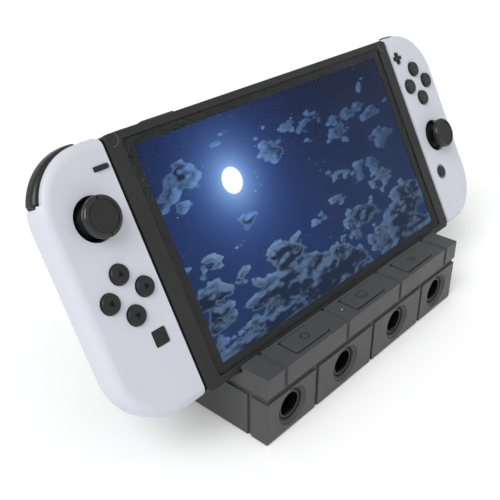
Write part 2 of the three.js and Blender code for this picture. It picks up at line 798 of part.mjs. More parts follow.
// The kickstand's hinge edge is rounded about its pivot, so that it turns in its recess.
function kickstand() {
  const radius = KICKSTAND_THICKNESS / 2;
  const span = [-KICKSTAND_WIDTH / 2, KICKSTAND_WIDTH / 2];
  const plate = block(span, [KICKSTAND_BOTTOM, hingeHeight], [hingeDepth - radius, hingeDepth + radius]);
  return plate.add(rodAlongX(radius, span, hingeHeight, hingeDepth));
}

function cardSlotCover() {
  const { x, width, back, front, thickness } = cardCover;
  const radius = thickness / 2;
  const middle = CONSOLE_HEIGHT - radius;
  const span = [x - width / 2, x + width / 2];
  const lid = block(span, [middle - radius, middle + radius], [back, front]);
  return lid.add(rodAlongX(radius, span, middle, back));
}

function powerButton() {
  const { x, width, depth, proud } = power;
  const shape = roundedRectangle(
    [x - width / 2, x + width / 2],
    [edgeMiddle - depth / 2, edgeMiddle + depth / 2],
    1.2,
  );
  return edgeControl(shape, proud, { x, halfWidth: width / 2, halfDepth: depth / 2 });
}

function volumeRocker() {
  const { x, width, depth, proud } = volume;
  const shape = roundedRectangle(
    [x - width / 2, x + width / 2],
    [edgeMiddle - depth / 2, edgeMiddle + depth / 2],
    1.2,
  );
  return edgeControl(shape, proud, { x, halfWidth: width / 2, halfDepth: depth / 2 });
}

// A control in the top edge: its cap stands proud, and a flange holds it under the wall.
function edgeControl(shape, proud, { x, halfWidth, halfDepth }) {
  const bottom = CONSOLE_HEIGHT - CONSOLE_WALL - 3.4;
  const top = CONSOLE_HEIGHT + proud;
  const cap = softPrism(shape, -top, -bottom, 0.3, 1, 3).rotate([90, 0, 0]);
  const flangeTop = CONSOLE_HEIGHT - wallInset - FIT - 0.4;
  const flange = block(
    [x - halfWidth - 0.9, x + halfWidth + 0.9],
    [bottom, flangeTop],
    [edgeMiddle - halfDepth - 0.4, edgeMiddle + halfDepth + 0.4],
  );
  return cap.add(flange);
}

// A C-section rail in the console's side, closed at the foot, for the controller's slider to drop into.
function consoleRail() {
  const body = block(
    [railInner, half - 0.1],
    [RAIL_FOOT, CONSOLE_HEIGHT - 0.2],
    [railMiddle - RAIL_WIDTH / 2, railMiddle + RAIL_WIDTH / 2],
  );
  const headRoom = block(
    [sliderHeadInner - FIT, sliderHeadInner + SLIDER_HEAD_THICKNESS + FIT],
    [RAIL_FOOT + RAIL_END, CONSOLE_HEIGHT + 1],
    [railMiddle - SLIDER_HEAD / 2 - FIT, railMiddle + SLIDER_HEAD / 2 + FIT],
  );
  const mouth = block(
    [sliderHeadInner, half + 1],
    [RAIL_FOOT + RAIL_END, CONSOLE_HEIGHT + 1],
    [railMiddle - SLIDER_NECK / 2 - FIT, railMiddle + SLIDER_NECK / 2 + FIT],
  );
  return cutAll(body, [headRoom, mouth]);
}

function mainBoard() {
  return block(
    [-shellInside + 8, shellInside - 8],
    [14, CONSOLE_HEIGHT - 8],
    [-FRAME_THICKNESS + 0.1, -FRAME_THICKNESS + 1.1],
  );
}

function consoleBattery() {
  return softPrism(
    roundedRectangle([-6, shellInside - 6], [12, hingeHeight - 2], 1.5),
    cavityFloor + 0.5,
    -FRAME_THICKNESS - 0.6,
    0.5,
    1,
    3,
  );
}

function fanHousing() {
  const floor = fan.back + 0.8;
  const profile = [
    [0, fan.back],
    [FAN_RADIUS, fan.back],
    [FAN_RADIUS, fan.front],
    [FAN_RADIUS - FAN_WALL, fan.front],
    [FAN_RADIUS - FAN_WALL, floor],
    [1.2, floor],
    [1.2, fan.front - 0.4],
    [0, fan.front - 0.4],
  ];
  return turned(profile, 28).translate([fan.x, fan.y, 0]);
}

function fanRotor() {
  const low = fan.back + 1.3;
  const high = fan.front - 0.6;
  const hub = ring(1.5, 5, low, high, 18);
  const blades = Array.from({ length: FAN_BLADES }, (_, i) => {
    const blade = block([-0.4, 0.4], [4.5, FAN_RADIUS - FAN_WALL - 1], [low, high]);
    return blade.rotate([0, 0, (i * 360) / FAN_BLADES]);
  });
  return joinAll([hub, ...blades]).translate([fan.x, fan.y, 0]);
}

// ---------------------------------------------------------------- controllers, in the leaning frame

// A controller is drawn on the +X side; the left one is mirrored.
const plateInner = half + SEAM;
const sliderHeadInner = railInner + 1.1;
const shellInner = plateInner + SLIDER_PLATE + SEAM / 2;
const shellOuter = shellInner + CONTROLLER_WIDTH;
const shellTop = CONSOLE_HEIGHT + 0.5;
const cornerX = shellOuter - CONTROLLER_CORNER;
const cornerY = shellTop - CONTROLLER_CORNER;
const shoulderRadius = CONTROLLER_CORNER + SHOULDER_PROUD;
const shoulderInner = shoulderRadius - SHOULDER_THICKNESS;
const triggerInner = shoulderRadius - TRIGGER_THICKNESS;
const buttonColumn = shellInner + BUTTON_COLUMN;
const releasePlace = [shellInner + 5.5, 9];

// Heights are measured down from the controller's top.
const LAYOUTS = {
  left: {
    stick: [buttonColumn, 26],
    buttons: [buttonColumn, 54.3],
    selectButton: [shellInner + 4.35, 10.6],
    selectShape: roundedRectangle([-2.9, 2.9], [-0.7, 0.7], 0.15),
    cornerButton: [shellInner + 8.7, 73],
    cornerShape: roundedRectangle([-2.85, 2.85], [-2.85, 2.85], 0.5),
  },
  right: {
    stick: [buttonColumn, 55.7],
    buttons: [buttonColumn + 0.3, 27.3],
    selectButton: [shellInner + 4.6, 11.7],
    selectShape: cross(2.85, 1.7),
    cornerButton: [shellInner + 8.7, 74.3],
    cornerShape: circle(2.9),
  },
};

const BUTTON_SIDES = { top: [0, 1], right: [1, 0], bottom: [0, -1], left: [-1, 0] };

function placeFromTop([x, down]) {
  return [x, shellTop - down, 0];
}

// The shells' outline. It can run on past the inner side, so that the rounded edge of a blank is not
// round there, and its inner corners are then larger.
const OUTLINE_OVERRUN = 12;
function controllerOutline(inset = 0, overrun = 0) {
  const x0 = shellInner + inset - overrun;
  const x1 = shellOuter - inset;
  const y0 = inset;
  const y1 = shellTop - inset;
  const big = CONTROLLER_CORNER - inset;
  const small = 1.2 + overrun / 2;
  const shape = new THREE.Shape();
  shape.moveTo(x0 + small, y0);
  shape.lineTo(x1 - big, y0);
  shape.absarc(x1 - big, y0 + big, big, -Math.PI / 2, 0);
  shape.lineTo(x1, y1 - big);
  shape.absarc(x1 - big, y1 - big, big, 0, Math.PI / 2);
  shape.lineTo(x0 + small, y1);
  shape.absarc(x0 + small, y1 - small, small, Math.PI / 2, Math.PI);
  shape.lineTo(x0, y0 + small);
  shape.absarc(x0 + small, y0 + small, small, Math.PI, 1.5 * Math.PI);
  return shape;
}

function sectorCut(innerRadius, z0, z1) {
  const shape = ringSector(
    cornerX,
    cornerY,
    innerRadius - SECTOR_GAP,
    shoulderRadius + 6,
    SECTOR_START - SECTOR_END_GAP,
    SECTOR_END + SECTOR_END_GAP,
  );
  return prism(shape, z0, z1, 7);
}

// A shape grown by a gap, as a cutter for the hole that it moves in.
function holeFor(shape, gap, z0, z1, curveSegments) {
  const options = {
    depth: z1 - z0,
    bevelThickness: 0.001,
    bevelSize: gap,
    bevelSegments: 1,
    curveSegments,
  };
  return solid(new THREE.ExtrudeGeometry(shape, options).translate(0, 0, z0));
}

function controllerFrontShell(layout) {
  const outline = controllerOutline(0, OUTLINE_OVERRUN);
  const rounded = softPrism(outline, -20, 0, CONTROLLER_EDGE, 3, 7);
  const body = rounded.intersect(prism(controllerOutline(), -SHELL_SPLIT + 0.1, 1, 7));
  const cavity = prism(
    controllerOutline(CONTROLLER_WALL, SIDE_OPENING),
    -SHELL_SPLIT - 1,
    -CONTROLLER_WALL,
    7,
  );
  const stickHole = rod(STICK_HOLE_RADIUS, -CONTROLLER_WALL - 1, 1, 24);
  const buttonHoles = Object.values(BUTTON_SIDES).map(([x, y]) =>
    rod(FACE_BUTTON_RADIUS + BUTTON_GAP, -CONTROLLER_WALL - 1, 1, 16)
      .translate([x * FACE_BUTTON_REACH, y * FACE_BUTTON_REACH, 0])
      .translate(placeFromTop(layout.buttons)),
  );
  const selectHole = holeFor(layout.selectShape, BUTTON_GAP, -CONTROLLER_WALL - 1, 1, 2);
  const cornerHole = holeFor(layout.cornerShape, BUTTON_GAP, -CONTROLLER_WALL - 1, 1, 6);
  return cutAll(body, [
    cavity,
    stickHole.translate(placeFromTop(layout.stick)),
    ...buttonHoles,
    selectHole.translate(placeFromTop(layout.selectButton)),
    cornerHole.translate(placeFromTop(layout.cornerButton)),
    sectorCut(shoulderInner, -SHELL_SPLIT - 1, -SHOULDER_FRONT + FIT),
  ]);
}

function controllerRearShell() {
  const outline = controllerOutline(0, OUTLINE_OVERRUN);
  const rounded = softPrism(outline, -CONSOLE_THICKNESS, 8, CONTROLLER_BACK_EDGE, 3, 7);
  const body = rounded.intersect(
    prism(controllerOutline(), -CONSOLE_THICKNESS - 1, -SHELL_SPLIT - 0.1, 7),
  );
  const cavity = prism(
    controllerOutline(CONTROLLER_WALL + 1, SIDE_OPENING),
    -CONSOLE_THICKNESS + CONTROLLER_WALL,
    0,
    7,
  );
  const releaseHole = rod(RELEASE_RADIUS + BUTTON_GAP, -CONSOLE_THICKNESS - 1, 0, 16);
  return cutAll(body, [
    cavity,
    releaseHole.translate(placeFromTop(releasePlace)),
    sectorCut(triggerInner, -CONSOLE_THICKNESS - 1, 0),
  ]);
}

// The T-shaped slider that drops into the console's rail, on a plate that closes the controller's side.
function railSlider() {
  const plate = block(
    [plateInner, plateInner + SLIDER_PLATE],
    [1.5, shellTop - 1.5],
    [-CONSOLE_THICKNESS + 0.8, -0.8],
  );
  const reach = [RAIL_FOOT + RAIL_END + FIT, CONSOLE_HEIGHT - 1];
  const neck = block(
    [sliderHeadInner, plateInner + SLIDER_PLATE / 2],
    reach,
    [railMiddle - SLIDER_NECK / 2, railMiddle + SLIDER_NECK / 2],
  );
  const head = block(
    [sliderHeadInner, sliderHeadInner + SLIDER_HEAD_THICKNESS],
    reach,
    [railMiddle - SLIDER_HEAD / 2, railMiddle + SLIDER_HEAD / 2],
  );
  return joinAll([plate, neck, head]);
}

// A button with a flange that keeps it inside the shell.
function shellButton(shape, { proud, edge, flange, curveSegments }) {
  const top = -CONTROLLER_WALL - FIT;
  const cap = softPrism(shape, top - 1, proud, edge, 1, curveSegments);
  return cap.add(prism(flange, top - 1, top, curveSegments));
}

function faceButton() {
  const flange = circle(FACE_BUTTON_RADIUS + 0.6);
  const form = { proud: FACE_BUTTON_PROUD, edge: 0.35, flange, curveSegments: 8 };
  return shellButton(circle(FACE_BUTTON_RADIUS), form);
}

function selectButton(shape) {
  const flange = roundedRectangle([-3.6, 3.6], [-3.4, 3.4], 0.4);
  return shellButton(shape, { proud: 0.9, edge: 0.1, flange, curveSegments: 2 });
}

function cornerButton(shape) {
  return shellButton(shape, { proud: 0.5, edge: 0.25, flange: circle(4.1), curveSegments: 6 });
}

// The ring tips up and down on two stub pins in the shell; the stem tips left and right inside it.
function stickRing() {
  const z = -STICK_PIVOT_DEPTH;
  const hoop = ring(4.7, 6, z - 1, z + 1, 20);
  const pins = [
    [-7.4, -5.6],
    [5.6, 7.4],
  ].map((span) => rodAlongX(0.7, span, 0, z, 8));
  return joinAll([hoop, ...pins]);
}

// The stem carries the domed skirt that fills the opening, and the post under the cap.
function stickStem() {
  const z = -STICK_PIVOT_DEPTH;
  const outer = 8.3;
  const inner = 7.4;
  const steps = 4;
  const widest = THREE.MathUtils.degToRad(64);
  const narrowest = THREE.MathUtils.degToRad(18);
  const arc = (radius, from, to) =>
    Array.from({ length: steps + 1 }, (_, i) => {
      const angle = from + ((to - from) * i) / steps;
      return [radius * Math.sin(angle), z + radius * Math.cos(angle)];
    });
  const profile = [
    [0, z - 1.2],
    [1.5, z - 1.2],
    [1.5, z + inner],
    ...arc(inner, narrowest, widest),
    ...arc(outer, widest, narrowest),
    [2.4, z + outer + 0.4],
    [2.4, STICK_CAP_BOTTOM + STICK_POST],
    [0, STICK_CAP_BOTTOM + STICK_POST],
  ];
  const pins = rodAlongY(0.7, 0, [-4.3, 4.3], z, 8);
  return turned(profile, 16).add(pins);
}

// The cap has a dished top, and a socket under it that leaves room for the click.
function stickCap() {
  const bottom = STICK_CAP_BOTTOM;
  const top = bottom + STICK_CAP_HEIGHT;
  const r = STICK_CAP_RADIUS;
  const socket = { radius: 2.4 + FIT, top: bottom + STICK_POST + 0.8 };
  const profile = [
    [0, socket.top],
    [socket.radius, socket.top],
    [socket.radius, bottom],
    [r - 1.2, bottom],
    [r - 0.35, bottom + 0.35],
    [r, bottom + 1],
    [r, top - 1],
    [r - 0.4, top - 0.3],
    [r - 1.2, top],
    [r - 1.9, top - 0.25],
    [0, top - 0.4],
  ];
  return turned(profile, 24);
}

function sectorPiece(innerRadius, z0, z1, rounding) {
  const shape = ringSector(cornerX, cornerY, innerRadius, shoulderRadius, SECTOR_START, SECTOR_END);
  return softPrism(shape, z0, z1, rounding, 1, 7);
}

// The trigger leans inward towards the back.
function trigger() {
  const front = -SHELL_SPLIT - FIT;
  const slope = (TRIGGER_BACK_INSET - TRIGGER_FRONT_INSET) / (front + TRIGGER_BACK);
  const radiusAt = (z) => shoulderRadius - TRIGGER_FRONT_INSET - slope * (front - z);
  const cone = turned(
    [
      [0, -TRIGGER_BACK - 1],
      [radiusAt(-TRIGGER_BACK - 1), -TRIGGER_BACK - 1],
      [radiusAt(front + 1), front + 1],
      [0, front + 1],
    ],
    48,
  );
  const sector = sectorPiece(triggerInner, -TRIGGER_BACK, front, 0.6);
  return sector.intersect(cone.translate([cornerX, cornerY, 0]));
}

function releaseButton() {
  const body = rod(RELEASE_RADIUS, -CONSOLE_THICKNESS - 0.4, -CONSOLE_THICKNESS + CONTROLLER_WALL + 1, 16);
  const inside = -CONSOLE_THICKNESS + CONTROLLER_WALL + FIT;
  return body.add(rod(RELEASE_RADIUS + 0.6, inside, inside + 0.7, 16));
}

function controller(side) {
  const layout = LAYOUTS[side];
  const group = new THREE.Group();
  group.scale.x = side === "left" ? -1 : 1;
  const add = (name, body, finish, place = [0, 0, 0]) => {
    const mesh = node(side + "_" + name, body, finish);
    mesh.position.set(...place);
    group.add(mesh);
  };
  add("front_shell", controllerFrontShell(layout), "white");
  add("rear_shell", controllerRearShell(), "white");
  add("rail_slider", railSlider(), "dark");
  const stickPlace = placeFromTop(layout.stick);
  add("stick_ring", stickRing(), "metal", stickPlace);
  add("stick_stem", stickStem(), "dark", stickPlace);
  add("stick_cap", stickCap(), "black", stickPlace);
  const [bx, by] = placeFromTop(layout.buttons);
  for (const [where, [dx, dy]] of Object.entries(BUTTON_SIDES)) {
    const place = [bx + dx * FACE_BUTTON_REACH, by + dy * FACE_BUTTON_REACH, 0];
    add("button_" + where, faceButton(), "black", place);
  }
  add("select_button", selectButton(layout.selectShape), "black", placeFromTop(layout.selectButton));
  add("corner_button", cornerButton(layout.cornerShape), "black", placeFromTop(layout.cornerButton));
  add(
    "shoulder_button",
    sectorPiece(shoulderInner, -SHELL_SPLIT + FIT, -SHOULDER_FRONT, 0.6),
    "black",
  );
  add("trigger", trigger(), "black");
  add("release_button", releaseButton(), "black", placeFromTop(releasePlace));
  return group;
}

// ---------------------------------------------------------------- assembly

function dock() {
  const group = new THREE.Group();
  group.add(
    node("dock_lower_housing", dockLowerHousing(), "dock"),
    node("dock_top_cover", dockTopCover(), "dock"),
    node("dock_base_plate", dockBasePlate(), "dock"),
    node("dock_back_rest", dockBackRest(), "dock"),
    node("dock_foot", dockFoot(), "rubber"),
    node("status_light", statusLight(), "light"),
    node("dock_circuit_board", dockCircuitBoard(), "board"),
    node("rear_port_block", rearPortBlock(), "metal"),
  );
  for (const [side, x] of Object.entries(keyCentres)) {
    group.add(node("dock_key_" + side, dockKey(x), "dock"));
  }
  socketCentres.forEach((x, i) => {
    group.add(node("controller_port_" + (i + 1), controllerPort(x), "dark"));
  });
  return group;
}

function gameConsole() {
  const group = new THREE.Group();
  const rightRail = node("right_rail", consoleRail(), "metal");
  const leftRail = node("left_rail", consoleRail(), "metal");
  leftRail.scale.x = -1;
  group.add(
    node("console_front_frame", consoleFrontFrame(), "frame"),
    node("console_rear_shell", consoleRearShell(), "frame"),
    node("cover_glass", coverGlass(), "glass"),
    node("display_panel", displayPanel(), "picture"),
    node("kickstand", kickstand(), "frame"),
    node("card_slot_cover", cardSlotCover(), "frame"),
    node("power_button", powerButton(), "black"),
    node("volume_rocker", volumeRocker(), "black"),
    leftRail,
    rightRail,
    node("main_board", mainBoard(), "board"),
    node("console_battery", consoleBattery(), "dark"),
    node("fan_housing", fanHousing(), "dark"),
    node("fan_rotor", fanRotor(), "dark"),
  );
  return group;
}

// The console, its controllers and the docking plug lean back together.
const leaning = new THREE.Group();
leaning.position.set(0, hingeY, slotHeight);
leaning.rotation.x = Math.PI / 2 - LEAN;
leaning.add(gameConsole(), controller("left"), controller("right"));
leaning.add(node("docking_plug", dockingPlug(), "metal"));

const assembly = new THREE.Group();
assembly.add(dock(), leaning);

export default assembly;
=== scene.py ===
import json
import math

import bmesh
import bpy
from mathutils import Matrix, Vector

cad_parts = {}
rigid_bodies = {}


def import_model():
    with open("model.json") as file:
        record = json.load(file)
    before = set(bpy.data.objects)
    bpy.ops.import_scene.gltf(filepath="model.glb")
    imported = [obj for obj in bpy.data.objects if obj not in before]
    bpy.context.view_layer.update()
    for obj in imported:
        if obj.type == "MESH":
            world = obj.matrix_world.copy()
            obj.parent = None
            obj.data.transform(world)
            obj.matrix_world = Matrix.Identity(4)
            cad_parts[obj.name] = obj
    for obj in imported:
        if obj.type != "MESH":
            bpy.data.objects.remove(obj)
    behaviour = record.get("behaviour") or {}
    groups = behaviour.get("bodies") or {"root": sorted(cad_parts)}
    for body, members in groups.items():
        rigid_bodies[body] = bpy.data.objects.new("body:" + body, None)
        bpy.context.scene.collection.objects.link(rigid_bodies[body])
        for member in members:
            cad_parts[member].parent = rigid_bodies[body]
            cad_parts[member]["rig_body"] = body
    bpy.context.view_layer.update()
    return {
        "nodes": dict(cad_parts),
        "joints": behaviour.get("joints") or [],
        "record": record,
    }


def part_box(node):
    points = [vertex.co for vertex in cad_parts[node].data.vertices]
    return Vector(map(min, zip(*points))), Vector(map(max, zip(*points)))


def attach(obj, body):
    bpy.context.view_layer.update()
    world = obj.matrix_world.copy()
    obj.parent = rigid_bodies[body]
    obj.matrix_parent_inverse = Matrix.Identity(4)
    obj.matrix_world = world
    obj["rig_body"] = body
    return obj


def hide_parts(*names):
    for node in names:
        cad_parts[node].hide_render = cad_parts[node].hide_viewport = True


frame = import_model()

# ---------------------------------------------------------------- sizes, in millimetres

# controllers
CONTROLLER_CORNER = 23
SHELL_FRONT_EDGE = 4
SHELL_BACK_EDGE = 5
SHELL_WALL = 1.8
SHELL_SEAM = 0.05
INNER_TOP_CORNER = 2.6
INNER_BOTTOM_CORNER = 1.4
OVERRUN = 14
HOLE_LIP = 0.15
BUTTON_GAP = 0.2
STICK_HOLE_RADIUS = 8.2
STICK_INLAY_RADIUS = 5.7
SECTOR_START = 21
SECTOR_END = 96
SECTOR_OPEN = 2.6
SECTOR_CLEARANCE = 1.3
STRIP_RADIUS = 22.1  # the white rim's edge along the shoulder button
STRIP_SHIFT = (-0.75, 0.65)
TRIGGER_TAPER = 2.8
RING_LIGHT_RADIUS = 3.95
RING_LIGHT_INSIDE = 3.3
BUTTON_FLANGE = 0.6
SKIRT_OUTER = 8.3
SKIRT_INNER = 7.4
BACK_SCREWS = ((8, 12), (22, 20), (8, 70), (21, 78))

# console
CONSOLE_CORNER = 2.2
FRAME_EDGE = 0.7
CONSOLE_BACK_EDGE = 2
CONSOLE_WALL = 1.8
CONSOLE_END_WALL = 2.5
GLASS_CORNER = 1.2
RAIL_DEPTH = 3.6
KICKSTAND_EDGE = 0.35
POCKET_GAP = 0.14
CONTROL_GROW = 0.9
VENTS = 9
VENT_PITCH = 6.5
SPEAKER_X = 62
SPEAKER_SLITS = 5
SPEAKER_LOW = 9
SLIT_PITCH = 2.2
INTAKES = 12
INTAKE_X = -50
INTAKE_PITCH = 3
CASE_SCREW_X = 78

# dock
DOCK_WALL = 2
GROOVE_WIDTH = 2
GROOVE_DEPTH = 0.8
BAND_HEIGHT = 0.3
DOCK_EDGE = 0.3
SOCKET_BEVEL_RADIUS = 8.6
SOCKET_RADIUS = 7.3
SOCKET_BORE_RADIUS = 5.2
SOCKET_COLLAR_RADIUS = 6.35
REAR_PORTS = ((-26, 9.4, 3.6), (-2, 15.4, 5.4), (24, 13.2, 5.8))  # x, width and height
REAR_PORT_HEIGHT = 11
SIDE_GROOVE_BACK = 8.3  # from the dock's front
KEY_CORNER = 1.3
KEY_WIDTH = 21.2
MARK_DEPTH = 0.15

FINE = 96  # segments of a full turn on what shows
HOLE_FINE = 64

# ---------------------------------------------------------------- the frame's own places

MM = 0.001
JOINTS = {joint["name"]: joint for joint in frame["joints"]}
U_AXIS = Vector((1, 0, 0))
V_AXIS = Vector(JOINTS["console_lift"]["axis"]).normalized()
N_AXIS = U_AXIS.cross(V_AXIS)


def along(node, axis):
    """Lowest and highest place of a CAD node along an axis, in metres."""
    places = [vertex.co.dot(axis) for vertex in frame["nodes"][node].data.vertices]
    return min(places), max(places)


# The leaning frame: u to the right, v up the console's front, n out of it, from its bottom front edge.
V_ZERO = along("console_front_frame", V_AXIS)[0]
N_ZERO = along("console_front_frame", N_AXIS)[1]
LEAN_TURN = Matrix((U_AXIS, V_AXIS, N_AXIS)).transposed().to_4x4()
LEAN = Matrix.Translation(V_AXIS * V_ZERO + N_AXIS * N_ZERO) @ LEAN_TURN @ Matrix.Scale(MM, 4)
UPRIGHT = Matrix.Scale(MM, 4)
TIPPED = Matrix.Rotation(-math.pi / 2, 4, "X")  # turns a face that looks up to face the back


class Span:
    """A CAD node's box in millimetres, in the leaning frame or, for the dock, upright."""

    def __init__(self, node, leaning=True, side=1):
        if leaning:
            u = along(node, U_AXIS)
            v = tuple(place - V_ZERO for place in along(node, V_AXIS))
            n = tuple(place - N_ZERO for place in along(node, N_AXIS))
        else:
            low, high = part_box(node)
            u, v, n = zip(low, high)
        u = sorted(side * place for place in u)
        (self.u0, self.u1), (self.v0, self.v1), (self.n0, self.n1) = (
            [place / MM for place in pair] for pair in (u, v, n)
        )
        self.u = (self.u0 + self.u1) / 2
        self.v = (self.v0 + self.v1) / 2
        self.n = (self.n0 + self.n1) / 2


# ---------------------------------------------------------------- camera

camera = bpy.data.objects.new("camera", bpy.data.cameras.new("camera"))
bpy.context.collection.objects.link(camera)
bpy.context.scene.camera = camera
camera.data.lens = 54.285
camera.data.sensor_width = 36
camera.location = (-0.23980, -0.18181, 0.21238)
LOOK = Vector((0.65102, 0.57707, -0.49312))
camera.rotation_euler = LOOK.to_track_quat("-Z", "Y").to_euler()

bpy.context.scene.view_settings.view_transform = "Standard"

# ---------------------------------------------------------------- materials


class Nodes:
    """Adds nodes to one material, each returned as its output socket."""

    def __init__(self, name):
        self.material = bpy.data.materials.new(name)
        self.material.use_nodes = True
        self.tree = self.material.node_tree
        self.shader = self.tree.nodes["Principled BSDF"]
        position = self.tree.nodes.new("ShaderNodeTexCoord").outputs["Object"]
        self.mm = self.vector("SCALE", position, scale=1 / MM)

    def put(self, socket, value):
        if isinstance(value, bpy.types.NodeSocket):
            self.tree.links.new(value, socket)
        else:
            socket.default_value = value

    def vector(self, operation, a, b=None, scale=None):
        node = self.tree.nodes.new("ShaderNodeVectorMath")
        node.operation = operation
        self.put(node.inputs[0], a)
        if b is not None:
            self.put(node.inputs[1], b)
        if scale is not None:
            node.inputs["Scale"].default_value = scale
        return node.outputs["Value" if operation in ("DOT_PRODUCT", "LENGTH") else "Vector"]

    def math(self, operation, a, b=0.0, c=0.0, clamp=False):
        node = self.tree.nodes.new("ShaderNodeMath")
        node.operation = operation
        node.use_clamp = clamp
        for socket, value in zip(node.inputs, (a, b, c)):
            self.put(socket, value)
        return node.outputs[0]

    def noise(self, where, scale, detail=2.0, roughness=0.5, distortion=0.0):
        node = self.tree.nodes.new("ShaderNodeTexNoise")
        self.put(node.inputs["Vector"], where)
        node.inputs["Scale"].default_value = scale
        node.inputs["Detail"].default_value = detail
        node.inputs["Roughness"].default_value = roughness
        node.inputs["Distortion"].default_value = distortion
        return node.outputs["Fac"]

    def cells(self, where, scale):
        node = self.tree.nodes.new("ShaderNodeTexVoronoi")
        self.put(node.inputs["Vector"], where)
        node.inputs["Scale"].default_value = scale
        return node.outputs["Distance"]

    def spread(self, value, low, high, to_low=0.0, to_high=1.0):
        node = self.tree.nodes.new("ShaderNodeMapRange")
        for socket, number in zip(node.inputs, (value, low, high, to_low, to_high)):
            self.put(socket, number)
        return node.outputs["Result"]

    def mix(self, share, a, b):
        node = self.tree.nodes.new("ShaderNodeMix")
        node.data_type = "RGBA"
        self.put(node.inputs[0], share)
        self.put(node.inputs[6], a)
        self.put(node.inputs[7], b)
        return node.outputs[2]

    def bump(self, height, depth_mm, strength=1.0):
        node = self.tree.nodes.new("ShaderNodeBump")
        node.inputs["Strength"].default_value = strength
        node.inputs["Distance"].default_value = depth_mm * MM
        self.put(node.inputs["Height"], height)
        self.put(self.shader.inputs["Normal"], node.outputs["Normal"])


def shade(colour, factor):
    return tuple(min(1.0, channel * factor) for channel in colour) + (1.0,)


def moulded(name, colour, roughness, grain=4.0, depth=0.006, mottle=0.05, gloss=0.5, metallic=0.0):
    """Moulded plastic, rubber or metal: slow drifts in tone and gloss, and a fine grain."""
    made = Nodes(name)
    drift = made.noise(made.mm, 0.06, detail=3)
    fine = made.noise(made.mm, grain, detail=2)
    slow = made.math("MULTIPLY", drift, 0.75)
    tone = made.spread(made.math("ADD", slow, made.math("MULTIPLY", fine, 0.25)), 0.3, 0.7)
    base = made.mix(tone, shade(colour, 1 - mottle), shade(colour, 1 + mottle))
    made.put(made.shader.inputs["Base Color"], base)
    rub = made.noise(made.mm, 0.35, detail=4)
    made.put(made.shader.inputs["Roughness"], made.spread(rub, 0.3, 0.7, roughness - 0.05, roughness + 0.05))
    made.shader.inputs["Metallic"].default_value = metallic
    made.shader.inputs["Specular IOR Level"].default_value = gloss
    made.bump(fine, depth)
    return made.material


def glass():
    made = Nodes("cover_glass")
    smear = made.noise(made.mm, 0.05, detail=4, distortion=0.6)
    made.put(made.shader.inputs["Roughness"], made.spread(smear, 0.35, 0.7, 0.0, 0.02))
    made.put(made.shader.inputs["Base Color"], made.mix(smear, (0.96, 0.97, 0.98, 1), (0.98, 0.99, 1.0, 1)))
    made.shader.inputs["Transmission Weight"].default_value = 1.0
    made.shader.inputs["IOR"].default_value = 1.1
    made.bump(smear, 0.002, 0.4)
    return made.material


